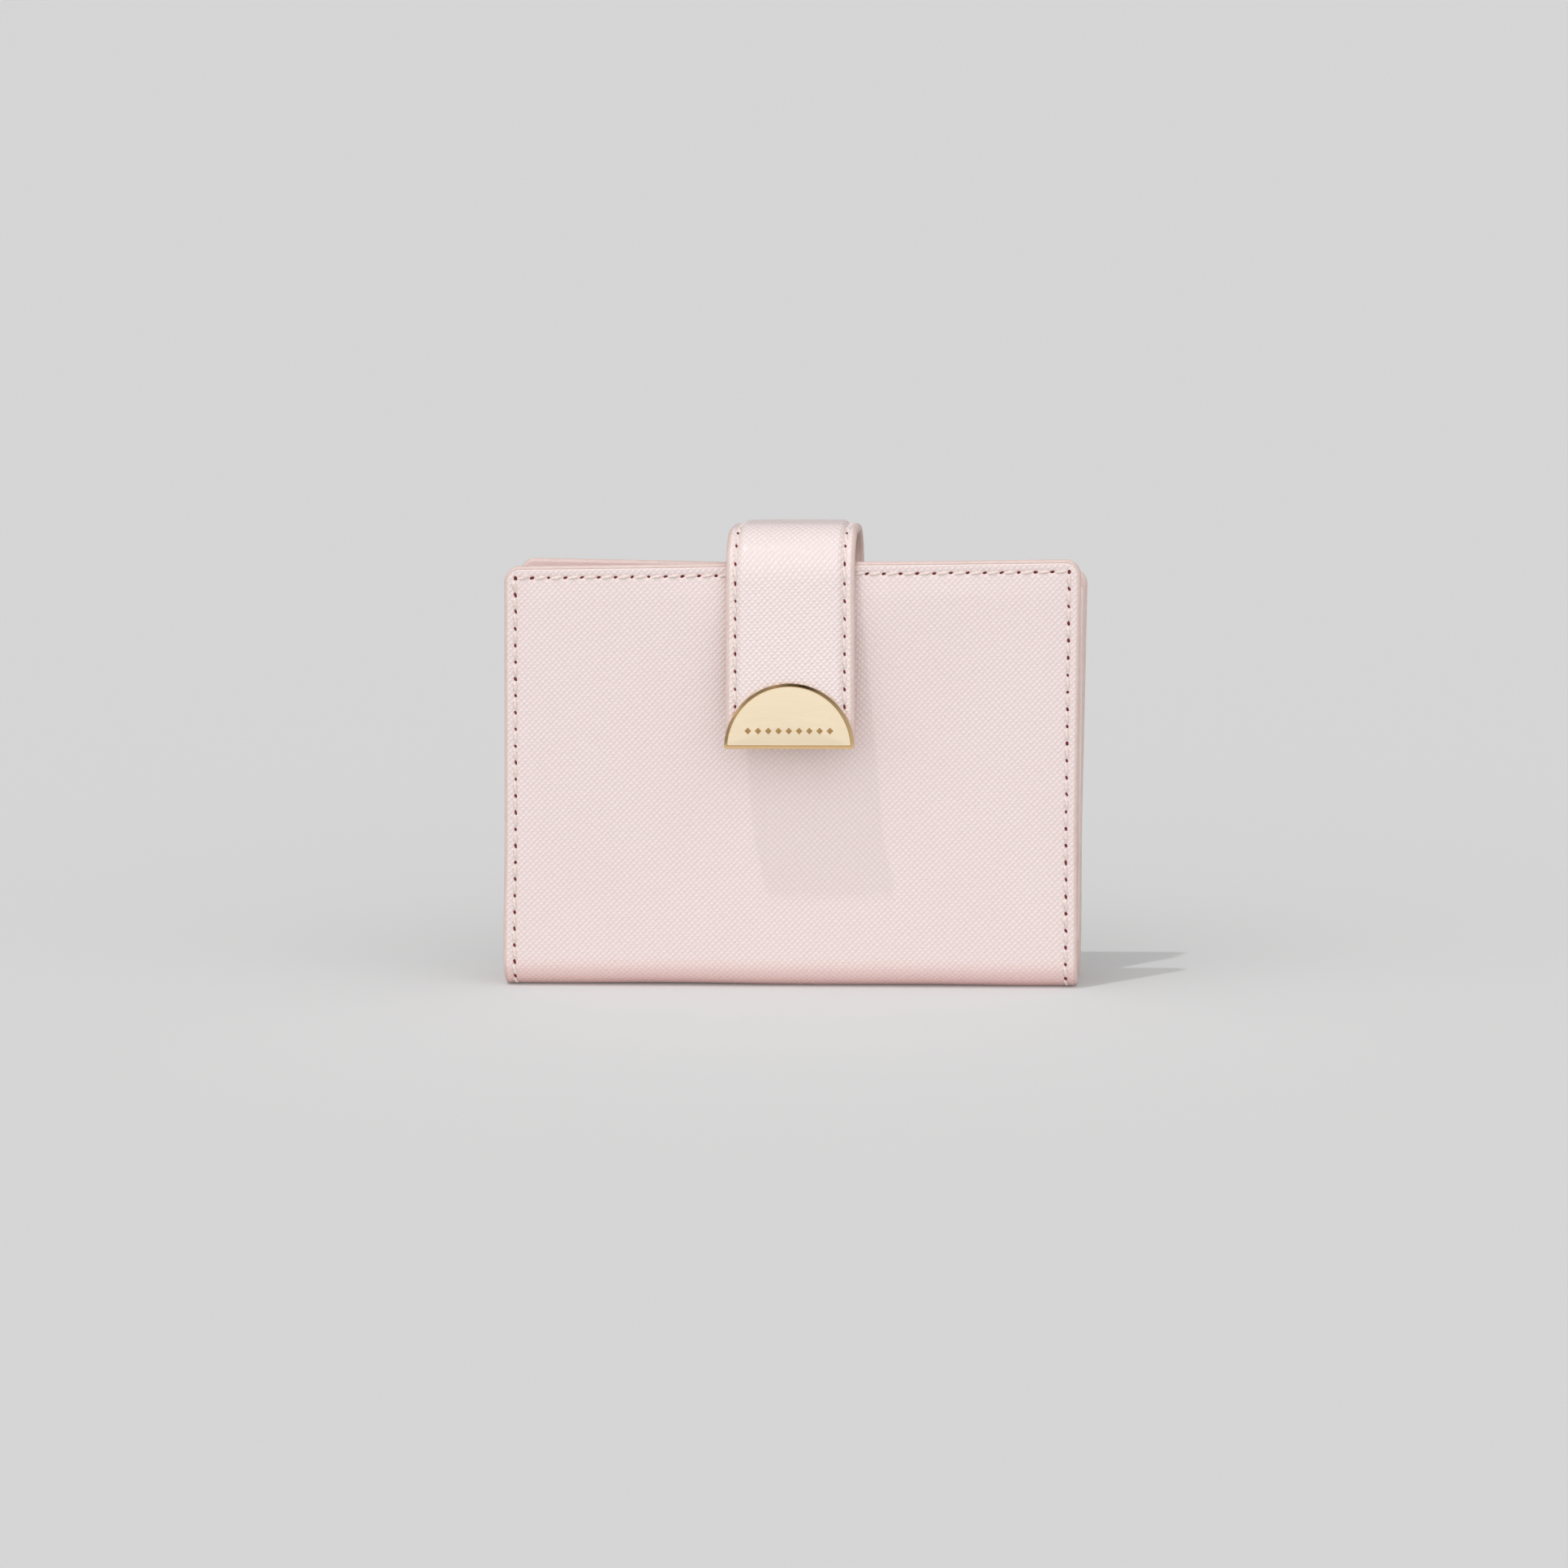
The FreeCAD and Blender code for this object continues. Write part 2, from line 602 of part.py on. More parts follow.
def plate_pins(offset0, offset1):
    down = PLATE_BOTTOM - PLATE_PIN_RISE
    return [tab_disc(x, down, offset0, offset1, PLATE_PIN_RADIUS)
            for x in (-PLATE_PIN_SPREAD, PLATE_PIN_SPREAD)]


def half_moon_plate():
    """Half-disc plate with a bevelled rim, and two pins through the strap."""
    centre = TAB_ORIGIN + TAB_DOWN * PLATE_BOTTOM + TAB_OUT * LEATHER_END
    left, right = centre - Vector(PLATE_RADIUS, 0, 0), centre + Vector(PLATE_RADIUS, 0, 0)
    crown = centre - TAB_DOWN * PLATE_RADIUS
    outline = Part.Wire([Part.Arc(left, crown, right).toShape(), Part.LineSegment(right, left).toShape()])
    plate = Part.Face(outline).extrude(TAB_OUT * PLATE_THICK)
    front = TAB_OUT.dot(centre) + PLATE_THICK
    rim = [e for e in plate.Edges if all(abs(TAB_OUT.dot(v.Point) - front) < 1e-6 for v in e.Vertexes)]
    plate = plate.makeChamfer(PLATE_BEVEL, rim)
    return plate.fuse(plate_pins(0, LEATHER_END)).removeSplitter()


def rivet_shank():
    return tab_disc(0, SNAP_DOWN, 0, STRAP_LAYER, RIVET_SHANK)


def rivet_head():
    return tab_disc(0, SNAP_DOWN, STRAP_LAYER, STRAP_LAYER + RIVET_HEAD_THICK, RIVET_HEAD)


def snap_rivet():
    return join([rivet_shank(), rivet_head()])


def snap_socket():
    body = tab_disc(0, SNAP_DOWN, -SOCKET_HEIGHT, 0, SOCKET_RADIUS)
    return body.cut(tab_disc(0, SNAP_DOWN, -SOCKET_HEIGHT, SOCKET_BORE_DEPTH - SOCKET_HEIGHT, SOCKET_BORE))


# ---- fittings on the front cover ----
def stud_disc(out0, out1, radius):
    return flat_disc(0, out0, out1, SNAP_UP, radius, FRONT)


def snap_stud():
    base = stud_disc(FOLD_RADIUS, FOLD_RADIUS + STUD_BASE, STUD_BASE_RADIUS)
    neck = stud_disc(FOLD_RADIUS, FOLD_RADIUS + STUD_NECK_TOP, STUD_NECK_RADIUS)
    head = stud_disc(FOLD_RADIUS + STUD_NECK_TOP, FOLD_RADIUS + STUD_TOP, STUD_HEAD_RADIUS)
    return join([base, neck, head, stud_disc(BOARD_IN, FOLD_RADIUS, RIVET_SHANK)])


def stud_backplate():
    plate = stud_disc(BOARD_IN, BOARD_IN + RIVET_HEAD_THICK, RIVET_HEAD)
    return plate.cut(stud_disc(BOARD_IN, BOARD_IN + RIVET_HEAD_THICK, RIVET_SHANK))


def front_leather():
    return cover_leather(FRONT).cut(stud_disc(LEATHER_IN, FOLD_RADIUS, RIVET_SHANK))


def front_board():
    holes = [stud_disc(BOARD_IN, LEATHER_IN, RIVET_SHANK),
             stud_disc(BOARD_IN, BOARD_IN + RIVET_HEAD_THICK, RIVET_HEAD)]
    return cover_board(FRONT).cut(holes)


# ---- the whole wallet ----
def back_half():
    nodes = {
        "back_cover_leather": cover_leather(BACK),
        "back_cover_board": cover_board(BACK),
        "back_cover_lining": cover_lining(BACK),
        "back_cover_thread": cover_thread(BACK, STRAP_HALF_WIDTH + 0.5),
        "bill_divider": bill_divider(),
        "coin_back_wall": coin_wall(COIN_SPACE_OUT, DIVIDER_IN),
        "coin_front_wall": coin_wall(COIN_FRONT_IN, COIN_SPACE_IN),
        "coin_gusset": coin_gusset(),
        "zip_tape_back": zip_tape(1),
        "zip_tape_front": zip_tape(-1),
        "zip_teeth_back": zip_teeth(1),
        "zip_teeth_front": zip_teeth(-1),
        "zip_stops": zip_stops(),
        "zip_slider": zip_slider(),
        "zip_pull": zip_pull(),
    }
    for i in range(len(BACK_SLOT_TOPS)):
        nodes[f"back_card_slot_{i + 1}"] = card_slot(i, BACK_SLOT_TOPS, COIN_FRONT_IN, SLOT,
                                                     BACK_SLOT_HALF_WIDTH, BACK)
    return {name: stand(shape, BACK) for name, shape in nodes.items()}


def front_half():
    nodes = {
        "front_cover_leather": front_leather(),
        "front_cover_board": front_board(),
        "front_cover_lining": cover_lining(FRONT),
        "front_cover_thread": cover_thread(FRONT),
        "snap_stud": snap_stud(),
        "stud_backplate": stud_backplate(),
    }
    for i in range(len(FRONT_SLOT_TOPS)):
        nodes[f"front_card_slot_{i + 1}"] = card_slot(i, FRONT_SLOT_TOPS, LINING_IN, FRONT_SLOT,
                                                      FRONT_SLOT_HALF_WIDTH, FRONT)
    return {name: stand(shape, FRONT) for name, shape in nodes.items()}


def spine():
    edge = HALF_WIDTH
    lined = HALF_WIDTH - LINING_INSET
    nodes = {
        "spine_leather": spine_strip(0, LEATHER, edge),
        "spine_board": spine_strip(LEATHER, LEATHER + BOARD, HALF_WIDTH - BOARD_INSET),
        "spine_lining": spine_strip(LEATHER + BOARD, LEATHER + BOARD + LINING, lined),
    }
    for name, side in (("back", BACK), ("front", FRONT)):
        nodes[f"{name}_crease_leather"] = crease(FOLD_RADIUS, LEATHER_IN, edge, side)
        nodes[f"{name}_crease_lining"] = crease(BOARD_IN, LINING_IN, lined, side)
    return nodes


def strap():
    return {
        "strap_root_leather": root_leather(),
        "strap_root_filler": filler(root_stations(PAD_START)),
        "strap_root_lining": lining(root_stations(ROOT_BOTTOM)),
        "strap_root_thread": root_thread(),
        "strap_arch_leather": padded_leather(arch_stations()),
        "strap_arch_filler": filler(arch_stations()),
        "strap_arch_lining": lining(arch_stations()),
        "strap_arch_thread": arch_thread(),
        "strap_tab_leather": tab_leather(),
        "strap_tab_filler": filler(tab_stations(PAD_STOP)),
        "strap_tab_lining": tab_lining(),
        "strap_tab_thread": tab_thread(),
        "half_moon_plate": half_moon_plate(),
        "snap_socket": snap_socket(),
        "snap_rivet": snap_rivet(),
    }


def main():
    os.makedirs("parts", exist_ok=True)
    nodes = {**spine(), **back_half(), **front_half(), **strap()}
    for name, shape in nodes.items():
        shape.exportStep(f"parts/{name}.step")
        if not shape.isValid() or not all(s.isValid() for s in shape.Solids) or not shape.Solids:
            print("not a valid solid:", name)
    print(len(nodes), "nodes")
    print("strap hinge at the back:", arc_point(ARC_BACK, 0.5, STRAP_LAYER))
    print("strap hinge at the front:", arc_point(ARC_FRONT, 0.5, STRAP_LAYER))
    pin = stand(Part.Vertex(PULL_PIN_X, COIN_MID, PULL_PIN_UP), BACK).Point
    print("zip pull pin:", pin, "slider x:", SLIDER_X)


main()
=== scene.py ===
"""Looks of the compact bifold wallet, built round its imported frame.

Lengths in this script are millimetres until a mesh is made, and then metres.  Every sheet (cover skin,
lining, strap, pocket) is drawn over a path in the YZ plane: x runs across, s runs along the path, and an
offset points outwards from it.
"""

import json
import math

import bmesh
import bpy
import numpy as np
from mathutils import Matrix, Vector


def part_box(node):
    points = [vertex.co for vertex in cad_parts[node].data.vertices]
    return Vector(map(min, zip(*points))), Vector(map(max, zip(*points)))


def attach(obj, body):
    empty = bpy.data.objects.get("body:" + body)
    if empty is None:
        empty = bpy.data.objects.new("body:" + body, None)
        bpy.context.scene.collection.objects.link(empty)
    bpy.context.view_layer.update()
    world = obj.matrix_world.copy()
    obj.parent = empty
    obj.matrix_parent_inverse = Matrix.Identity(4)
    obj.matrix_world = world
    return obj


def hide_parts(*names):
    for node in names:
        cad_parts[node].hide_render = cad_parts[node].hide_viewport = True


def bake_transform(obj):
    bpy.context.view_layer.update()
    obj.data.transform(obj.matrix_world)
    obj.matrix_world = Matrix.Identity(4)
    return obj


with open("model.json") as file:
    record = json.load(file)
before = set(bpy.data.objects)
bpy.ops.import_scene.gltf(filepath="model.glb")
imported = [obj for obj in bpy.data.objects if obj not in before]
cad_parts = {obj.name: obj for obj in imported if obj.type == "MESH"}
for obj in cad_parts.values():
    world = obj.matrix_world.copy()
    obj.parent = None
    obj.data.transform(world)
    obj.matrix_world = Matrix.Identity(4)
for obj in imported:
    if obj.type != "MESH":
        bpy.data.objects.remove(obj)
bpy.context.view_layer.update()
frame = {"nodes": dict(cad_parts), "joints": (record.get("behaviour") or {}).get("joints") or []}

MM = 0.001
WELD_GAP = 1e-3
BACK, FRONT = 1, -1
RNG = np.random.default_rng(11)


# ---- sizes read from the frame ----
def node_box(node):
    """Lowest and highest corner of a CAD node, in millimetres."""
    low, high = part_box(node)
    return [c / MM for c in low], [c / MM for c in high]


def joint_place(name):
    joint = next(j for j in frame["joints"] if j["name"] == name)
    return [c / MM for c in joint["pos_m"]]


HALF_WIDTH = node_box("front_cover_leather")[1][0]
COVER_TOP = node_box("front_cover_leather")[1][2]
FOLD_RADIUS = joint_place("back_fold")[2]
SPINE_HALF = joint_place("back_fold")[1]
LEAN = math.radians(0.9)
COVER_UP = (COVER_TOP - FOLD_RADIUS) / math.cos(LEAN)
SKIN = 1.8
LINING = 0.5
CORNER_RADIUS = 3.0

STRAP_HALF = node_box("strap_arch_leather")[1][0]
ARCH_TOP = node_box("strap_arch_lining")[1][2] - 1.0
ROOT_BOTTOM = 42.0
TAB_START = (4.8, 74.0)
TAB_LEAN = math.radians(8.0)
TAB_LENGTH = 31.15
ARCH_RADII = (6.0, 8.5)
STRAP_THICK = 1.8
PAD_RISE = 0.7
POCKET_LOW, POCKET_HIGH = node_box("bill_divider")
POCKET_HALF = POCKET_HIGH[0]
POCKET_BOTTOM = (POCKET_LOW[2] - FOLD_RADIUS) / math.cos(LEAN)
POCKET_TOP = (POCKET_HIGH[2] - FOLD_RADIUS) / math.cos(LEAN)
POCKET_THICK = 0.4

PLATE_RADIUS = node_box("half_moon_plate")[1][0]
PLATE_BOTTOM = 31.65
PLATE_THICK = 1.8
PLATE_BEVEL = 0.52
PLATE_LINE = 0.16
PLATE_FOOT = 0.12
PLATE_CORNER = 0.35
LOZENGE_COUNT = 9
LOZENGE_PITCH = 1.95
LOZENGE_UP = 3.4
LOZENGE_HALF = 0.68

STITCH_PITCH = 3.2
POCKET_PITCH = 2.0
COVER_SEAM_INSET = 2.2
STRAP_SEAM_INSET = 1.9
GROOVE_DEPTH = 0.22
GROOVE_WIDTH = 0.34
PAINT_LINE = 0.14
PAINT_LINE_INSET = 0.62
LINING_INSET = 0.35

# how far the covers are out of true: rises, bow, shift, dent, shear and flare
FRONT_RISE = 1.5
FRONT_SKEW = 1.2
BACK_RISE = 1.2
BACK_BOW = 0.8
BACK_SHIFT = 0.45
STRAP_DENT = 0.75
FOLD_LIFT = 0.12
TOP_SHIFT = 0.1
COVER_SHEAR = 1.35
POCKET_SHEAR = 1.2
FLARE = 0.3


# ---- paths and places ----
def unit(v):
    return v / np.linalg.norm(v)


def half_point(side, out, up):
    """YZ place of a point given outwards from a half's hinge axis and up from it."""
    y = SPINE_HALF + out * math.cos(LEAN) + up * math.sin(LEAN)
    z = FOLD_RADIUS + up * math.cos(LEAN) - out * math.sin(LEAN)
    return np.array([side * y, z])


class Path:
    """Straight runs joined by arcs in the YZ plane; handed is 1 where outwards is right of the way."""

    def __init__(self, corners, radii, handed):
        corners = [np.array(c, float) for c in corners]
        self.handed = handed
        self.parts = []
        last = corners[0]
        for before, corner, after, radius in zip(corners, corners[1:], corners[2:], radii):
            u, v = unit(before - corner), unit(after - corner)
            half = math.acos(float(np.dot(u, v))) / 2
            start = corner + u * radius / math.tan(half)
            end = corner + v * radius / math.tan(half)
            centre = corner + unit(u + v) * radius / math.sin(half)
            turn = (math.pi - 2 * half) * np.sign(u[1] * v[0] - u[0] * v[1])
            self.parts.append((np.linalg.norm(start - last), last, unit(start - last), None, 0.0))
            self.parts.append((abs(turn) * radius, start, -u, centre, turn))
            last = end
        self.parts.append((np.linalg.norm(corners[-1] - last), last, unit(corners[-1] - last), None, 0.0))
        self.length = sum(part[0] for part in self.parts)
        self.starts = np.cumsum([0.0] + [part[0] for part in self.parts])

    def at(self, s):
        """Point, direction along the path and outward normal at a distance along it."""
        index = int(np.clip(np.searchsorted(self.starts, s, side="right") - 1, 0, len(self.parts) - 1))
        length, start, along, centre, turn = self.parts[index]
        run = s - self.starts[index]
        if centre is None:
            point = start + along * run
        else:
            angle = turn * run / length
            c, n = math.cos(angle), math.sin(angle)
            spin = np.array([[c, -n], [n, c]])
            point = centre + spin @ (start - centre)
            along = spin @ along
        return point, along, self.handed * np.array([along[1], -along[0]])


def cover_path(side):
    """Outer line of a half's skin: from the middle of the spine round the fold to the cover's top."""
    corner = half_point(side, FOLD_RADIUS, 0)
    up = half_point(side, FOLD_RADIUS, 1) - corner
    foot = corner - up * corner[1] / up[1]
    return Path([(0, 0), foot, half_point(side, FOLD_RADIUS, COVER_UP)], [FOLD_RADIUS], side)


def strap_path():
    root_low = half_point(BACK, FOLD_RADIUS, ROOT_BOTTOM)
    root_up = half_point(BACK, FOLD_RADIUS, ROOT_BOTTOM + 1) - root_low
    tab_top = half_point(FRONT, *TAB_START)
    tab_below = half_point(FRONT, TAB_START[0] + math.sin(TAB_LEAN), TAB_START[1] - math.cos(TAB_LEAN))
    tab_down = tab_below - tab_top
    corner_back = root_low + root_up * (ARCH_TOP - root_low[1]) / root_up[1]
    corner_front = tab_top + tab_down * (ARCH_TOP - tab_top[1]) / tab_down[1]
    return Path([root_low, corner_back, corner_front, tab_top + tab_down * TAB_LENGTH], ARCH_RADII, 1)


COVERS = {BACK: cover_path(BACK), FRONT: cover_path(FRONT)}
STRAP = strap_path()
FOLD_START = COVERS[FRONT].starts[1]
FOLD_END = COVERS[FRONT].starts[2]
PLATE_S = STRAP.length - TAB_LENGTH + PLATE_BOTTOM
BACK_BEND, FRONT_BEND = 1, 3
ARCH_MIDDLE = (STRAP.starts[BACK_BEND + 1] + STRAP.starts[FRONT_BEND]) / 2


def smooth(low, high, x):
    t = np.clip((np.asarray(x, float) - low) / (high - low), 0, 1)
    return t * t * (3 - 2 * t)


# ---- small irregularities of a hand-made piece ----
def back_rise(x, up):
    """The back cover stands a little higher at its left and lower at its right."""
    return up * (BACK_RISE - BACK_RISE * (x / HALF_WIDTH + 1))


def cover_warp(side, x, s, y, z):
    """The covers are a little skewed and unequal, and the strap presses their tops together."""
    up = np.clip((s - FOLD_END) / COVER_UP, 0, 1)
    to_right = (x / HALF_WIDTH + 1) / 2
    if side == FRONT:
        z = z + up * (FRONT_RISE + FRONT_SKEW * to_right)
    else:
        z = z + back_rise(x, up)
        y = y + BACK_BOW * to_right ** 2 * up
        x = x + BACK_SHIFT * up
    under_strap = smooth(STRAP_HALF + 12, STRAP_HALF - 2, np.abs(x)) * smooth(0.85, 1.0, up)
    y = y - side * STRAP_DENT * under_strap
    lift = FOLD_LIFT * smooth(0.85, 0.5, np.abs(x) / HALF_WIDTH) * smooth(10, 0, s - FOLD_START)
    shear = TOP_SHIFT - COVER_SHEAR * (1 - up)
    flare = FLARE * smooth(34, 10, s - FOLD_START) * smooth(0.75, 1, np.abs(x) / HALF_WIDTH)
    return x + shear + np.sign(x) * flare, y, z + lift


def cover_place(side):
    """Function from (x, s, offset) to a point on a cover, with its irregularities."""
    line = COVERS[side]

    def place(x, s, offset):
        point, _, normal = line.at(s)
        y, z = point[0] + normal[0] * offset, point[1] + normal[1] * offset
        return cover_warp(side, x, s, y, z)

    return place


def strap_place(x, s, offset):
    point, _, normal = STRAP.at(s)
    zero = np.zeros_like(x)
    return x, zero + point[0] + normal[0] * offset, zero + point[1] + normal[1] * offset


# ---- meshes ----
def new_object(name, verts, faces, uvs=None, face_slots=None, smooth_faces=True):
    """Mesh object from points in millimetres; uvs is one pair for each point."""
    mesh = bpy.data.meshes.new(name)
    mesh.from_pydata([tuple(c * MM for c in v) for v in verts], [], faces)
    if uvs is not None:
        layer = mesh.uv_layers.new(name="flat")
        loops = np.zeros(len(mesh.loops), dtype=np.int32)
        mesh.loops.foreach_get("vertex_index", loops)
        layer.data.foreach_set("uv", np.asarray(uvs, dtype=np.float32)[loops].ravel())
    if face_slots is not None:
        mesh.polygons.foreach_set("material_index", np.asarray(face_slots, dtype=np.int32))
    mesh.polygons.foreach_set("use_smooth", np.full(len(mesh.polygons), smooth_faces))
    mesh.update()
    obj = bpy.data.objects.new(name, mesh)
    bpy.context.scene.collection.objects.link(obj)
    return obj


def weld(obj):
    """Joins points that coincide and turns all faces outwards."""
    work = bmesh.new()
    work.from_mesh(obj.data)
    bmesh.ops.remove_doubles(work, verts=work.verts, dist=WELD_GAP * MM)
    bmesh.ops.dissolve_degenerate(work, edges=work.edges, dist=WELD_GAP * MM * 0.1)
    bmesh.ops.recalc_face_normals(work, faces=work.faces)
    work.to_mesh(obj.data)
    work.free()


def edge_distance(x, s, half, start, end, radius, round_start, closed_start, closed_end):
    """Distance inwards from the outline of a strip whose chosen ends have rounded corners."""
    side = half - np.abs(x)
    dist = side.copy()
    for gap, closed, is_round in ((end - s, closed_end, True), (s - start, closed_start, round_start)):
        if not closed:
            continue
        corner = (side < radius) & (gap < radius) & is_round
        rounded = radius - np.hypot(radius - np.minimum(side, radius), max(radius - gap, 0.0))
        dist = np.where(corner, np.minimum(dist, rounded), np.minimum(dist, gap))
    return np.maximum(dist, 0.0)


def outline_half(s, half, start, end, radius, round_start, closed_start, closed_end):
    """Half width of the strip at a row, narrower where a corner is rounded."""
    for gap, use in ((end - s, closed_end), (s - start, closed_start and round_start)):
        if use and gap < radius:
            half = half - (radius - math.sqrt(max(radius ** 2 - (radius - gap) ** 2, 0.0)))
    return half


# distances from the edge at which a sheet has a row of points: closest at its nose, paint line and seam
EDGE_STEPS = (0, 0.02, 0.08, 0.18, 0.32, 0.44, 0.54, 0.62, 0.7, 0.8, 0.95, 1.25, 1.55, 1.8, 2.0, 2.2, 2.4,
              2.65, 3.0, 3.5, 4.2, 5.0)


def sheet(name, place, half, start, end, top, bottom, *, radius, nose, middle, rows, paint,
          round_start=False, closed_start=True, closed_end=True, slots=(0, 1, 2), flip=1):
    """A closed sheet with rounded edges over a strip.

    Top and bottom give offsets from x, s and edge distance.  The slots are those of the top, the painted
    edge and the bottom, paint is the painted edge's width, and flip turns the grain over.
    """
    inner = EDGE_STEPS[-1]
    steps = np.array(EDGE_STEPS)
    fractions = np.linspace(-1, 1, middle)[1:-1]
    run_start = list(start + steps) if closed_start else [start]
    run_end = list(end - steps[::-1]) if closed_end else [end]
    body = list(np.linspace(run_start[-1], run_end[0], rows)[1:-1])
    all_rows = run_start + body + run_end
    shape = (half, start, end, radius, round_start, closed_start, closed_end)

    tops, bottoms, uvs, dists = [], [], [], []
    for s in all_rows:
        h = outline_half(s, *shape)
        x = np.concatenate([-(h - steps), fractions * (h - inner), (h - steps)[::-1]])
        e = edge_distance(x, s, *shape)
        e[0] = e[-1] = 0.0
        high, low = top(x, s, e), bottom(x, s, e)
        mid, thick = (high + low) / 2, (high - low) / 2
        bulge = np.sqrt(np.clip(1 - (1 - np.minimum(e, nose) / nose) ** 2, 0, 1))
        tops.append(np.stack(place(x, s, mid + thick * bulge), -1))
        bottoms.append(np.stack(place(x, s, mid - thick * bulge), -1))
        uvs.append(np.stack([x, np.full_like(x, flip * s)], -1))
        dists.append(e)
    tops, bottoms, uvs, dists = map(np.array, (tops, bottoms, uvs, dists))
    n_rows, n_cols = dists.shape
    count = n_rows * n_cols

    faces, face_slots = [], []
    for i in range(n_rows - 1):
        for j in range(n_cols - 1):
            a, b = i * n_cols + j, i * n_cols + j + 1
            c, d = b + n_cols, a + n_cols
            near = dists[i:i + 2, j:j + 2].mean()
            faces.append((a, b, c, d))
            face_slots.append(slots[1] if near < paint else slots[0])
            faces.append((d + count, c + count, b + count, a + count))
            face_slots.append(slots[1] if near < paint else slots[2])
    for i, closed in ((0, closed_start), (n_rows - 1, closed_end)):
        if closed:
            continue
        for j in range(n_cols - 1):
            a, b = i * n_cols + j, i * n_cols + j + 1
            faces.append((a, b, b + count, a + count))
            face_slots.append(slots[2])
    verts = np.concatenate([tops.reshape(-1, 3), bottoms.reshape(-1, 3)])
    all_uvs = np.concatenate([uvs.reshape(-1, 2), uvs.reshape(-1, 2)])
    obj = new_object(name, verts, faces, all_uvs, face_slots)
    weld(obj)
    obj.data.set_sharp_from_angle(angle=math.radians(60))
    return obj


# ---- materials ----
MIX_FACTOR, MIX_A, MIX_B = 0, 6, 7


def wire(tree, socket, value):
    """Links a node's output to a socket, or sets the socket where the value is a number or colour."""
    if hasattr(value, "is_output"):
        tree.links.new(value, socket)
    else:
        socket.default_value = value


def math_node(tree, operation, *values):
    node = tree.nodes.new("ShaderNodeMath")
    node.operation = operation
    for socket, value in zip(node.inputs, values):
        wire(tree, socket, value)
    return node.outputs[0]


class Graph:
    """A material's node tree round its Principled shader, with short calls for the nodes used here."""

    def __init__(self, name, roughness=0.5, metallic=0.0, **sockets):
        self.material = bpy.data.materials.new(name)
        self.material.use_nodes = True
        self.tree = self.material.node_tree
        self.shader = self.tree.nodes["Principled BSDF"]
        self.shader.inputs["Roughness"].default_value = roughness
        self.shader.inputs["Metallic"].default_value = metallic
        for socket, value in sockets.items():
            self.shader.inputs[socket.replace("_", " ")].default_value = value

    def put(self, socket, value):
        wire(self.tree, socket, value)

    def set(self, socket, value):
        self.put(self.shader.inputs[socket], value)

    def math(self, operation, *values):
        return math_node(self.tree, operation, *values)

    def flat(self):
        """A sheet's own flat coordinates in millimetres: both, across, along.  CAD nodes have none."""
        uv = self.tree.nodes.new("ShaderNodeUVMap")
        uv.uv_map = "flat"
        split = self.tree.nodes.new("ShaderNodeSeparateXYZ")
        self.put(split.inputs[0], uv.outputs[0])
        return uv.outputs[0], split.outputs[0], split.outputs[1]

    def solid(self):
        """Object coordinates, in millimetres."""
        place = self.tree.nodes.new("ShaderNodeTexCoord")
        node = self.tree.nodes.new("ShaderNodeVectorMath")
        node.operation = "SCALE"
        self.put(node.inputs[0], place.outputs["Object"])
        node.inputs["Scale"].default_value = 1 / MM
        return node.outputs[0]

    def noise(self, vector, scale, detail=2.0, roughness=0.5):
        node = self.tree.nodes.new("ShaderNodeTexNoise")
        self.put(node.inputs["Vector"], vector)
        node.inputs["Scale"].default_value = scale
        node.inputs["Detail"].default_value = detail
        node.inputs["Roughness"].default_value = roughness
        return node.outputs["Fac"]

    def stretch(self, vector, scale):
        node = self.tree.nodes.new("ShaderNodeVectorMath")
        node.operation = "MULTIPLY"
        self.put(node.inputs[0], vector)
        node.inputs[1].default_value = scale
        return node.outputs[0]

    def mix(self, factor, a, b):
        node = self.tree.nodes.new("ShaderNodeMix")
        node.data_type = "RGBA"
        for index, value in ((MIX_FACTOR, factor), (MIX_A, a), (MIX_B, b)):
            self.put(node.inputs[index], (*value, 1.0) if isinstance(value, tuple) else value)
        return node.outputs[2]

    def ramp(self, value, low, high, out_low=0.0, out_high=1.0):
        node = self.tree.nodes.new("ShaderNodeMapRange")
        self.put(node.inputs["Value"], value)
        node.inputs["From Min"].default_value = low
        node.inputs["From Max"].default_value = high
        node.inputs["To Min"].default_value = out_low
        node.inputs["To Max"].default_value = out_high
        return node.outputs[0]

    def bump(self, height, distance_mm):
        node = self.tree.nodes.new("ShaderNodeBump")
        node.inputs["Strength"].default_value = 1.0
        node.inputs["Distance"].default_value = distance_mm * MM
        self.put(node.inputs["Height"], height)
        self.set("Normal", node.outputs[0])


def wave(g, value, period, wobble):
    """0 to 1 ridges with a period in millimetres, shifted by a wobble."""
    turns = g.math("MULTIPLY_ADD", value, 2 * math.pi / period, wobble)
    return g.math("MULTIPLY_ADD", g.math("SINE", turns), 0.5, 0.5)


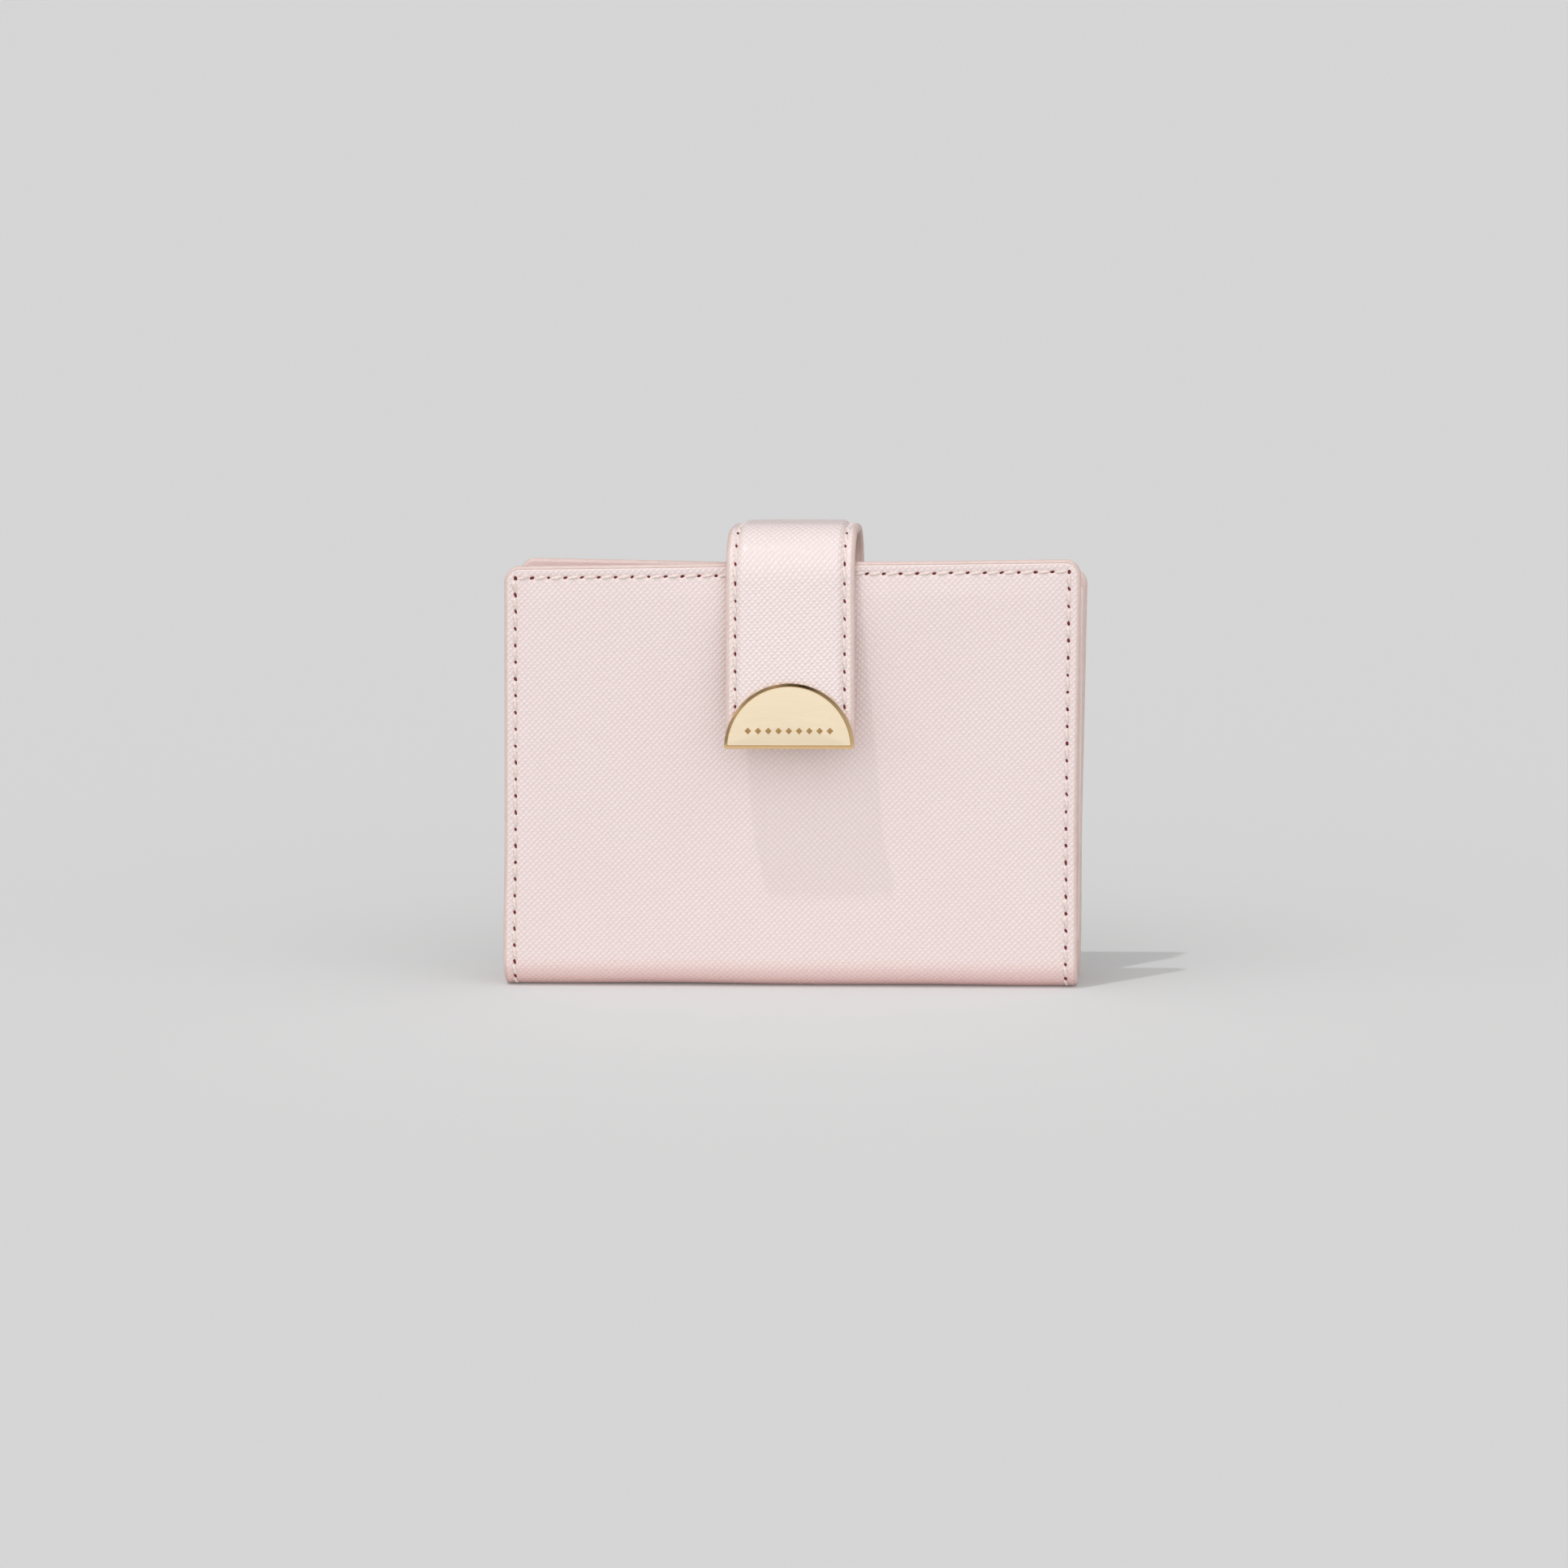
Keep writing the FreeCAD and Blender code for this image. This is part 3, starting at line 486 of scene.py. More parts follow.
def saffiano(name, light, deep, depth, fold=None):
    """Coated leather with a fine diagonal cross-hatch: continuous ridges one way, beaded by the other.

    The deep colour is painted into the grain's valleys as painted shade.  A fold gives the stretch of s over
    which painted shade, warm from bounced light, deepens the colour towards the fold's underside, and that
    colour.
    """
    g = Graph(name, roughness=0.42, Specular_IOR_Level=0.55, Coat_Weight=0.2, Coat_Roughness=0.18)
    uv, x, s = g.flat()
    soft = g.noise(uv, 0.35, 2.0)
    fine = g.noise(uv, 2.2, 2.0)
    down = g.math("MULTIPLY", g.math("SUBTRACT", x, s), math.sqrt(0.5))
    up = g.math("MULTIPLY", g.math("ADD", x, s), math.sqrt(0.5))
    wobble = g.math("MULTIPLY_ADD", soft, 1.8, g.math("MULTIPLY", fine, 0.9))
    ridges = wave(g, down, RIDGE_PITCH, wobble)
    beads = wave(g, up, BEAD_PITCH, g.math("MULTIPLY", wobble, 1.3))
    beaded = g.math("MULTIPLY", g.math("POWER", ridges, 0.8), g.math("MULTIPLY_ADD", beads, 0.76, 0.24))
    uneven = g.ramp(g.noise(uv, 1.1, 3.0), 0.3, 0.7, 0.7, 1.1)
    height = g.math("MULTIPLY", beaded, uneven)
    g.bump(height, depth)
    patch = g.ramp(g.noise(uv, 0.06, 2.0), 0.35, 0.65)
    base = g.mix(patch, light, tuple(c * f for c, f in zip(light, (0.985, 0.975, 0.975))))
    # painted shade: the grain's valleys take the deep colour, standing in for the shade that falls in them
    tone = g.mix(g.ramp(height, 0.0, 0.5, 0.9, 0.0), base, deep)
    # painted shade: the colour deepens round the fold, where the leather curves under and gets less light,
    # warm from bounced light
    if fold:
        start, end, colour = fold
        tone = g.mix(g.ramp(s, start, end), tone, colour)
    g.set("Base Color", tone)
    g.set("Roughness", g.ramp(height, 0.1, 0.9, 0.50, 0.24))
    return g.material


def smooth_leather(name, light, deep):
    """Lining leather with a fine pebble."""
    g = Graph(name, roughness=0.5, Specular_IOR_Level=0.4)
    place = g.solid()
    cells = g.tree.nodes.new("ShaderNodeTexVoronoi")
    cells.feature = "DISTANCE_TO_EDGE"
    cells.inputs["Scale"].default_value = 1.6
    g.put(cells.inputs["Vector"], place)
    pebble = g.ramp(cells.outputs["Distance"], 0.0, 0.25)
    height = g.math("MULTIPLY_ADD", pebble, 0.7, g.math("MULTIPLY", g.noise(place, 4.0, 3.0), 0.3))
    g.bump(height, 0.03)
    g.set("Base Color", g.mix(g.ramp(g.noise(place, 0.12, 3.0), 0.3, 0.7), light, deep))
    return g.material


def edge_paint(name, light, deep):
    """Thick sealed edge colour: smooth, a little uneven."""
    g = Graph(name, roughness=0.48, Specular_IOR_Level=0.5)
    place = g.solid()
    g.bump(g.noise(place, 1.4, 2.0), 0.05)
    g.set("Base Color", g.mix(g.ramp(g.noise(place, 0.6, 2.0), 0.3, 0.7), light, deep))
    return g.material


def thread_material(name, light, deep):
    g = Graph(name, roughness=0.55, Sheen_Weight=0.2, Specular_IOR_Level=0.4)
    place = g.solid()
    fibres = g.noise(g.stretch(place, (9.0, 9.0, 3.0)), 1.0, 2.0)
    g.bump(fibres, 0.03)
    g.set("Base Color", g.mix(g.ramp(fibres, 0.35, 0.65), light, deep))
    return g.material


def plain(name, light, deep, roughness, scale):
    """Plain surface with a fine irregular grain."""
    g = Graph(name, roughness=roughness, Specular_IOR_Level=0.3)
    place = g.solid()
    grain = g.noise(place, scale, 4.0, 0.6)
    g.bump(grain, 0.02)
    g.set("Base Color", g.mix(grain, light, deep))
    return g.material


def brushed_gold(name, colour, roughness):
    """Satin plate brushed along x."""
    g = Graph(name, roughness=roughness, metallic=1.0)
    place = g.solid()
    lines = g.noise(g.stretch(place, (0.12, 14.0, 14.0)), 1.0, 3.0, 0.6)
    g.bump(lines, 0.004)
    g.set("Base Color", g.mix(g.ramp(lines, 0.3, 0.7), colour, tuple(c * 0.94 for c in colour)))
    g.set("Roughness", g.ramp(lines, 0.3, 0.7, roughness * 0.9, roughness * 1.15))
    return g.material


def polished_gold(name, colour, roughness):
    g = Graph(name, roughness=roughness, metallic=1.0)
    place = g.solid()
    haze = g.noise(place, 0.8, 2.0)
    g.bump(haze, 0.004)
    g.set("Base Color", colour + (1.0,))
    g.set("Roughness", g.ramp(haze, 0.3, 0.7, roughness * 0.8, roughness * 1.3))
    return g.material


def woven(name, light, deep):
    """Zip tape: ribs that cross.  They need flat coordinates, so on a CAD node it is one even colour."""
    g = Graph(name, roughness=0.8, Sheen_Weight=0.3, Specular_IOR_Level=0.2)
    _, x, s = g.flat()
    ribs = wave(g, g.math("ADD", x, s), RIB_PITCH, 0.0)
    cross = wave(g, g.math("SUBTRACT", x, s), RIB_PITCH, 0.0)
    height = g.math("MAXIMUM", ribs, cross)
    g.bump(height, 0.06)
    g.set("Base Color", g.mix(g.ramp(height, 0.2, 0.9), deep, light))
    return g.material


RIDGE_PITCH = 0.80
BEAD_PITCH = 0.86
RIB_PITCH = 0.55
COVER_GRAIN = 0.098
STRAP_GRAIN = 0.15
PINK = (0.875, 0.768, 0.75)
# deep pink painted into the grain's valleys as painted shade
PINK_VALLEY_SHADE = (0.80, 0.64, 0.62)
# painted light: the strap is the cover's leather, painted a lighter pink for the extra light it catches
STRAP_PINK_PAINTED_LIGHT = (0.89, 0.80, 0.785)
LINING_PINK = (0.78, 0.60, 0.57)
# pink of the painted shade on the fold's underside
FOLD_PAINTED_SHADE_PINK = (0.84, 0.56, 0.53)

LOOKS = {
    "leather": saffiano("saffiano", PINK, PINK_VALLEY_SHADE, COVER_GRAIN,
                        (FOLD_END + 1.5, FOLD_START + 3.0, FOLD_PAINTED_SHADE_PINK)),
    # the strap's leather, painted lighter as painted light
    "strap": saffiano("saffiano_strap_painted_light", STRAP_PINK_PAINTED_LIGHT, PINK_VALLEY_SHADE, STRAP_GRAIN),
    "edge": edge_paint("edge_paint", (0.74, 0.585, 0.54), (0.68, 0.525, 0.48)),
    "lining": smooth_leather("lining_leather", LINING_PINK, (0.755, 0.57, 0.54)),
    "pocket": smooth_leather("pocket_leather", (0.87, 0.75, 0.72), (0.83, 0.69, 0.66)),
    # painted light: the strap's lining is lining leather painted lighter, standing in for light bounced into
    # the strap's arch
    "strap_lining_painted_bounce": smooth_leather("strap_lining_painted_bounce", (0.90, 0.73, 0.69), (0.86, 0.68, 0.64)),
    "engraved": plain("engraved_gold", (0.42, 0.25, 0.09), (0.34, 0.19, 0.06), 0.5, 2.0),
    "thread": thread_material("thread", (0.90, 0.80, 0.76), (0.80, 0.65, 0.60)),
    # painted shade: the dark colour of the needle-hole lenses stands in for the shade inside each hole
    "hole": plain("stitch_hole_painted_shade", (0.21, 0.032, 0.032), (0.10, 0.012, 0.012), 0.9, 1.0),
    "plate": brushed_gold("plate_face", (0.80, 0.67, 0.49), 0.30),
    "gold": polished_gold("gold_polished", (0.88, 0.62, 0.33), 0.12),
    "snap": polished_gold("snap_gold", (0.84, 0.64, 0.38), 0.22),
    "tape": woven("zip_tape", (0.72, 0.52, 0.49), (0.60, 0.41, 0.38)),
}


def dress(obj, *materials):
    for key in materials:
        obj.data.materials.append(LOOKS[key])
    return obj


# ---- camera ----
SENSOR_WIDTH = 36.0


def place_camera(target, azimuth, elevation, roll, distance, frame_width):
    az, el = math.radians(azimuth), math.radians(elevation)
    away = Vector((math.sin(az) * math.cos(el), -math.cos(az) * math.cos(el), math.sin(el)))
    data = bpy.data.cameras.new("camera")
    data.sensor_width = SENSOR_WIDTH
    data.lens = SENSOR_WIDTH * distance / frame_width
    data.clip_start, data.clip_end = 0.01, 1000.0
    data.dof.use_dof = False
    camera = bpy.data.objects.new("camera", data)
    camera.location = Vector(target) + away * distance
    look = away.to_track_quat("Z", "Y").to_matrix().to_4x4()
    camera.rotation_euler = look.to_euler()
    camera.rotation_euler.rotate_axis("Z", math.radians(roll))
    bpy.context.scene.collection.objects.link(camera)
    bpy.context.scene.camera = camera


# ---- covers ----
def level(offset):
    """Function for a face of a sheet that keeps one offset from its path."""
    return lambda x, s, e: np.full_like(x, offset)


def seam_groove(gap):
    """Depth of the groove that a seam pulls into the leather, by the distance from the seam's line."""
    return -GROOVE_DEPTH * np.exp(-(gap / GROOVE_WIDTH) ** 2)


def cover_surface(side):
    """Height of the skin over its path: a soft panel inside the seam, grooves, shallow unevenness."""
    phase = 0.7 if side == FRONT else 2.1

    def surface(x, s, e):
        up = smooth(FOLD_START, FOLD_END + 12, s)
        panel = 0.22 * smooth(COVER_SEAM_INSET, 7.0, e) * up
        from_side = HALF_WIDTH - np.abs(x)
        side_groove = seam_groove(from_side - COVER_SEAM_INSET) * (from_side < 6)
        paint_line = PAINT_LINE * np.exp(-((e - PAINT_LINE_INSET) / 0.09) ** 2)
        groove = np.minimum(seam_groove(e - COVER_SEAM_INSET), side_groove) - paint_line
        uneven = 0.10 * np.sin(x / 17 + phase) * np.sin(s / 13 + phase)
        uneven = uneven + 0.06 * np.sin(x / 7 + s / 9 + phase)
        sag = -0.25 * up * np.cos(x / HALF_WIDTH * math.pi / 2) * np.sin(np.pi * np.clip(s / 88, 0, 1))
        return panel + groove + (uneven + sag) * smooth(0.5, 8, e)

    return surface


def end_edge(side, x, s):
    """Edge distance on a cover for a single row."""
    end = COVERS[side].length
    return edge_distance(np.asarray(x, float), s, HALF_WIDTH, 0, end, CORNER_RADIUS, False, False, True)


def cover_skin(side, name):
    end = COVERS[side].length
    return sheet(name, cover_place(side), HALF_WIDTH, 0.0, end, cover_surface(side), level(-SKIN),
                 radius=CORNER_RADIUS, nose=0.75, middle=90, rows=110, paint=0.60, closed_start=False)


def lining_sheet(side, name):
    end = COVERS[side].length - LINING_INSET
    return sheet(name, cover_place(side), HALF_WIDTH - LINING_INSET, 0.0, end, level(-SKIN),
                 level(-SKIN - LINING), radius=CORNER_RADIUS - LINING_INSET, nose=0.25, middle=24, rows=40,
                 paint=0.1, closed_start=False, slots=(0, 0, 0))


# ---- stitches ----
RING_SIDES = 8
RING_PLACES = np.linspace(-1, 1, 13)
HOLE_RINGS = ((0.14, 0.35), (0.12, 0.8), (0.0, 1.0), (-0.25, 0.6))


def stitch_points(centre, along, across, out, length, radius, lift):
    """Points of one stitch: two twisted plies that rise out of one hole and go down into the next."""
    points = []
    for t in RING_PLACES:
        reach = math.sqrt(max(1 - t ** 4, 0.02))
        sunk = 0.25 * radius if abs(t) > 0.9 else 0
        middle = centre + along * (t * length / 2) + out * (lift - 0.75 * radius * t * t - sunk)
        for k in range(RING_SIDES):
            angle = 2 * math.pi * k / RING_SIDES
            r = radius * reach * (1 + 0.26 * math.cos(2 * (angle + 4.2 * t)))
            points.append(middle + across * (r * math.cos(angle)) + out * (r * math.sin(angle)))
    return points


def tube_faces(first, rings, sides):
    faces = []
    for i in range(rings - 1):
        for k in range(sides):
            a, b = first + i * sides + k, first + i * sides + (k + 1) % sides
            faces.append((a, b, b + sides, a + sides))
    faces.append(tuple(first + k for k in reversed(range(sides))))
    faces.append(tuple(first + (rings - 1) * sides + k for k in range(sides)))
    return faces


def hole_points(centre, along, across, out, size):
    """A small lens at a needle hole, longer along the seam than across it; its dark colour is painted shade
    in the hole.
    """
    points = []
    for height, share in HOLE_RINGS:
        for k in range(RING_SIDES):
            angle = 2 * math.pi * k / RING_SIDES
            forwards = along * (math.cos(angle) * size[0] * share)
            sideways = across * (math.sin(angle) * size[1] * share)
            points.append(centre + (forwards + sideways) + out * height)
    return points


def turned(along, across, tilt):
    """The two directions of a stitch or hole, turned by an angle within the surface."""
    c, n = math.cos(tilt), math.sin(tilt)
    return along * c + across * n, across * c - along * n


class Seam:
    """Collects the stitches and needle holes of one seam and makes two pieces of them."""

    def __init__(self, slant=0.16, radius=0.31, hole=(0.47, 0.31)):
        self.slant, self.radius, self.hole_size = slant, radius, hole
        self.verts, self.faces = [], []
        self.hole_verts, self.hole_faces = [], []

    def add(self, locate, stations, double=()):
        """Stitches between stations; locate gives the point, way and outward normal at a station."""
        for i in range(len(stations) - 1):
            here, there = stations[i], stations[i + 1]
            self.stitch(locate, here, there)
            if i in double:
                self.stitch(locate, here + 0.35 * (there - here), there - 0.1 * (there - here), 0.32)
        for station in stations:
            self.hole(locate, station)

    def stitch(self, locate, a, b, shift=0.0):
        point, along, out = locate((a + b) / 2 + RNG.normal(0, 0.04))
        first, _, _ = locate(a)
        last, _, _ = locate(b)
        length = np.linalg.norm(last - first) * 0.76
        across = np.cross(out, along)
        tilt = self.slant + RNG.normal(0, 0.025)
        along, across = turned(along, across, tilt)
        centre = point + across * (RNG.normal(0, 0.03) + shift)
        radius = self.radius * (1 + RNG.normal(0, 0.05))
        start = len(self.verts)
        self.verts += stitch_points(centre, along, across, out, length, radius, 0.14 + 0.35 * shift)
        self.faces += tube_faces(start, len(RING_PLACES), RING_SIDES)

    def hole(self, locate, station):
        point, along, out = locate(station)
        across = np.cross(out, along)
        tilt = 0.5 + RNG.normal(0, 0.15)
        along, across = turned(along, across, tilt)
        start = len(self.hole_verts)
        size = tuple(half * (1 + RNG.normal(0, 0.12)) for half in self.hole_size)
        self.hole_verts += hole_points(point + across * RNG.normal(0, 0.04), along, across, out, size)
        self.hole_faces += tube_faces(start, len(HOLE_RINGS), RING_SIDES)

    def pieces(self, name):
        thread = dress(new_object(name + "_thread", self.verts, self.faces), "thread")
        holes = dress(new_object(name + "_holes", self.hole_verts, self.hole_faces), "hole")
        return thread, holes


def stations_between(start, end, pitch=STITCH_PITCH):
    count = max(1, round((end - start) / pitch))
    return np.linspace(start, end, count + 1)


def surface_frame(place, surface, x, s):
    """Point, direction along s, direction along x and outward normal on a surface over a path."""
    def spot(px, ps):
        px = np.array([px], float)
        return np.stack(place(px, ps, surface(px, ps)), -1)[0]

    step = 0.05
    point = spot(x, s)
    up = unit(spot(x, s + step) - spot(x, s - step))
    across = unit(spot(x + step, s) - spot(x - step, s))
    return point, up, across, unit(np.cross(across, up))


def along_path(place, surface, x, sign):
    """Function from s to the point, way and outward normal on a surface's line at x."""
    def locate(s):
        point, up, _, out = surface_frame(place, surface, x, s)
        return point, up, out * sign

    return locate


def along_row(place, surface, s, sign):
    """Function from x to the point, way and outward normal on a surface's row at s."""
    def locate(x):
        point, _, across, out = surface_frame(place, surface, x, s)
        return point, across, out * sign

    return locate


LEFT_TACK_FROM_TOP = 2
RIGHT_TACKS = (4, 5)


def cover_seam(side, name, gap):
    """Seam down both sides and along the top of a cover, with doubled stitches for its back tacks."""
    place, heights, end = cover_place(side), cover_surface(side), COVERS[side].length

    def surface(px, ps):
        return heights(px, ps, end_edge(side, px, ps))

    seam = Seam()
    top = end - COVER_SEAM_INSET
    edge = HALF_WIDTH - COVER_SEAM_INSET
    for x in (-edge, edge):
        rows = stations_between(FOLD_START + 1.0, top)
        tacks = (len(rows) - LEFT_TACK_FROM_TOP,) if x < 0 else RIGHT_TACKS
        seam.add(along_path(place, surface, x, -side), rows, tacks)
    runs = [(-edge, edge)] if not gap else [(-edge, -gap), (gap, edge)]
    for x0, x1 in runs:
        tacks = (0,) if x0 == -edge and side == FRONT else ()
        seam.add(along_row(place, surface, top, -side), stations_between(x0, x1), tacks)
    return seam.pieces(name)


# ---- banknote pocket ----
def pocket_line():
    return Path([half_point(BACK, 1.0, POCKET_BOTTOM), half_point(BACK, 1.0, POCKET_TOP)], [], BACK)


def pocket_place(x, s, offset):
    """The pocket's wall follows the back cover's skew."""
    line = pocket_line()
    point, _, normal = line.at(s)
    up = (POCKET_BOTTOM + s) / COVER_UP
    shear = POCKET_SHEAR * (1 - up)
    return x + TOP_SHIFT - shear, point[0] + normal[0] * offset + 0 * x, point[1] + back_rise(x, up)


def pocket_face(x, s, e=None):
    """Inner face of the wall, with a slight wave towards its open top."""
    return 0.25 * np.sin(x / 11 + 1.0) * smooth(0.5, 1.0, s / pocket_line().length) - POCKET_THICK / 2


def pocket_wall():
    """Wall of the banknote pocket, as wide and as high as the CAD divider."""
    return sheet("pocket_wall", pocket_place, POCKET_HALF, 0.0, pocket_line().length,
                 lambda x, s, e: pocket_face(x, s) + POCKET_THICK, pocket_face, radius=2.0, nose=0.2,
                 middle=60, rows=50, paint=0.1, slots=(0, 0, 0))


def pocket_seam():
    """Small stitches along the pocket's top edge."""
    row = pocket_line().length - 1.0
    edge = POCKET_HALF - 2.0
    seam = Seam(slant=0.1, radius=0.17, hole=(0.2, 0.14))
    seam.add(along_row(pocket_place, pocket_face, row, 1), stations_between(-edge, edge, POCKET_PITCH))
    return seam.pieces("pocket_seam")


# ---- strap ----
def plate_gap(x, s):
    """Distance outwards from the plate's round edge, along the strap's surface."""
    return np.hypot(x, PLATE_S - s) - PLATE_RADIUS


def strap_surface(x, s, e=None):
    """Flanges, stitched grooves and the padded middle, which fades out under the plate and at the root."""
    a = np.abs(x)
    seam = STRAP_HALF - STRAP_SEAM_INSET
    pad = smooth(seam - 0.1, seam - 1.25, a) * (PAD_RISE + 0.12 * (1 - (a / seam) ** 2))
    pad = pad * smooth(3.0, 6.0, s) * smooth(-1.6, 0.2, plate_gap(x, s))
    flange = 0.10 * smooth(seam, seam + 0.8, a)
    return STRAP_THICK - 0.05 + pad + seam_groove(a - seam) + flange


def strap_sheet(name, start, end, closed_start, closed_end):
    return sheet(name, strap_place, STRAP_HALF, start, end, strap_surface, level(0.0),
                 radius=3.0 if closed_start else 0.4, nose=1.1, middle=40, rows=int((end - start) / 0.55),
                 paint=0.85, round_start=True, closed_start=closed_start, closed_end=closed_end, flip=-1)


def strap_seam(name, start, end, across_row=None):
    """Seams down both sides of a stretch of the strap, and across it where a row is given."""
    seam = Seam()
    edge = STRAP_HALF - STRAP_SEAM_INSET
    for x in (-edge, edge):
        seam.add(along_path(strap_place, strap_surface, x, -1), stations_between(start, end))
    if across_row is not None:
        seam.add(along_row(strap_place, strap_surface, across_row, -1), stations_between(-edge, edge))
    return seam.pieces(name)


# ---- plate ----
def plate_frame():
    """Origin at the middle of the plate's lower edge on the strap's surface, with its across, up and out."""
    point, along, normal = STRAP.at(STRAP.length - 1e-6)
    out = np.array([0, normal[0], normal[1]])
    up = -np.array([0, along[0], along[1]])
    base = np.array([0, point[0], point[1]]) - up * (PLATE_BOTTOM - TAB_LENGTH) + out * STRAP_THICK
    return base, np.array([1.0, 0, 0]), up, out


def moon_outline(inset):
    """Half-moon outline drawn inwards by an inset, its two corners slightly rounded."""
    radius = PLATE_RADIUS - inset
    start = math.asin(inset / radius)
    angles = np.linspace(start, math.pi - start, ARC_POINTS)
    arc = np.stack([radius * np.cos(angles), radius * np.sin(angles)], -1)
    flat = np.linspace(arc[-1], arc[0], FLAT_POINTS)[1:-1]
    points = np.concatenate([arc, flat])
    soft = max(PLATE_CORNER - inset * 0.5, 0.05)
    near = np.minimum(np.linalg.norm(points - arc[0], axis=1), np.linalg.norm(points - arc[-1], axis=1))
    pull = soft * 0.35 * np.exp(-(near / soft) ** 2)
    points[:, 0] -= np.sign(points[:, 0]) * pull
    points[:, 1] += pull * 0.8
    return points


ARC_POINTS = 96
FLAT_POINTS = 40
FACE_SLOT, RIM_SLOT, LINE_SLOT = 0, 1, 2


def make_plate():
    """The plate: a polished, bevelled rim, a dark line inside it and a slightly domed satin face."""
    base, across, up, out = plate_frame()
    rings = [(PLATE_FOOT, 0.0), (0.0, PLATE_FOOT), (0.0, PLATE_THICK - PLATE_BEVEL),
             (PLATE_BEVEL, PLATE_THICK), (PLATE_BEVEL + PLATE_LINE, PLATE_THICK)]
    ring_slots = [RIM_SLOT] * (len(rings) - 1) + [LINE_SLOT]
    verts, faces, face_slots = [], [], []
    outlines = [(moon_outline(inset), height) for inset, height in rings]
    face_edge = outlines[-1][0]
    centroid = np.array([0.0, 0.42 * PLATE_RADIUS])
    for share in (0.9, 0.75, 0.55, 0.35, 0.15):
        outlines.append((centroid + (face_edge - centroid) * share, PLATE_THICK + 0.10 * (1 - share ** 2)))
    n = len(face_edge)
    for i, (points, height) in enumerate(outlines):
        verts += [base + across * p[0] + up * p[1] + out * height for p in points]
        if i:
            for k in range(n):
                a, b = (i - 1) * n + k, (i - 1) * n + (k + 1) % n
                faces.append((a, b, b + n, a + n))
                face_slots.append(ring_slots[i] if i < len(rings) else FACE_SLOT)
    faces.append(tuple(reversed(range(n))))
    face_slots.append(RIM_SLOT)
    faces.append(tuple((len(outlines) - 1) * n + k for k in range(n)))
    face_slots.append(FACE_SLOT)
    plate = new_object("half_moon_plate_finished", verts, faces, None, face_slots)
    weld(plate)
    plate.data.set_sharp_from_angle(angle=math.radians(25))
    return dress(plate, "plate", "gold", "engraved")


def make_lozenges():
    """A plain row of small raised lozenges on the plate."""
    base, across, up, out = plate_frame()
    verts, faces = [], []
    for i in range(LOZENGE_COUNT):
        aside = across * ((i - (LOZENGE_COUNT - 1) / 2) * LOZENGE_PITCH)
        centre = base + aside + up * LOZENGE_UP + out * (PLATE_THICK + 0.08)
        start = len(verts)
        for height, share in ((-0.10, 1.0), (0.05, 0.92), (0.10, 0.45)):
            for dx, dz in ((LOZENGE_HALF, 0), (0, LOZENGE_HALF), (-LOZENGE_HALF, 0), (0, -LOZENGE_HALF)):
                verts.append(centre + across * dx * share + up * dz * share + out * height)
        faces += tube_faces(start, 3, 4)
    ornament = new_object("plate_lozenges", verts, faces, smooth_faces=False)
    return dress(ornament, "engraved")


def fold_blend(piece):
    """Bakes a piece's placement into its mesh; nothing here blends it round the fold."""
    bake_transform(piece)


def strap_blend(piece, arc_index):
    """Bakes a piece's placement into its mesh; the ends of the bend's arc are looked up but not used, and
    nothing here blends it round the bend.
    """
    start, _, _ = STRAP.at(STRAP.starts[arc_index])
    end, _, _ = STRAP.at(STRAP.starts[arc_index + 1])
    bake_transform(piece)


# ---- floor and light ----
FLOOR_HALF = 60000.0
FLOOR_GREY = (0.62, 0.62, 0.62)
FLOOR_GLOW = 0.066
BACKDROP = 0.658
WALL_LIGHT = 1.03
ROOM_LIGHT = 0.24


def stage():
    """Floor: one large plain plane, with a little glow of its own."""
    corners = ((-1, -1), (1, -1), (1, 1), (-1, 1))
    verts = [(x * FLOOR_HALF, y * FLOOR_HALF, -0.02) for x, y in corners]
    floor = new_object("floor", verts, [(0, 1, 2, 3)])
    g = Graph("floor_grey", roughness=1.0, Specular_IOR_Level=0.0)
    g.set("Base Color", FLOOR_GREY + (1.0,))
    g.set("Emission Color", (1.0, 1.0, 1.0, 1.0))
    g.set("Emission Strength", FLOOR_GLOW)
    floor.data.materials.append(g.material)


def sun(name, direction, strength, angle):
    data = bpy.data.lights.new(name, "SUN")
    data.energy = strength
    data.angle = math.radians(angle)
    light = bpy.data.objects.new(name, data)
    light.rotation_euler = (-Vector(direction)).to_track_quat("Z", "Y").to_euler()
    bpy.context.scene.collection.objects.link(light)
    return light


def world_part(tree, value, low, high):
    """Smooth step of a value between two limits, either way round."""
    node = tree.nodes.new("ShaderNodeMapRange")
    node.interpolation_type = "SMOOTHSTEP"
    node.inputs["From Min"].default_value = min(low, high)
    node.inputs["From Max"].default_value = max(low, high)
    node.inputs["To Min"].default_value = float(low > high)
    node.inputs["To Max"].default_value = float(low < high)
    tree.links.new(value, node.inputs["Value"])
    return node.outputs[0]


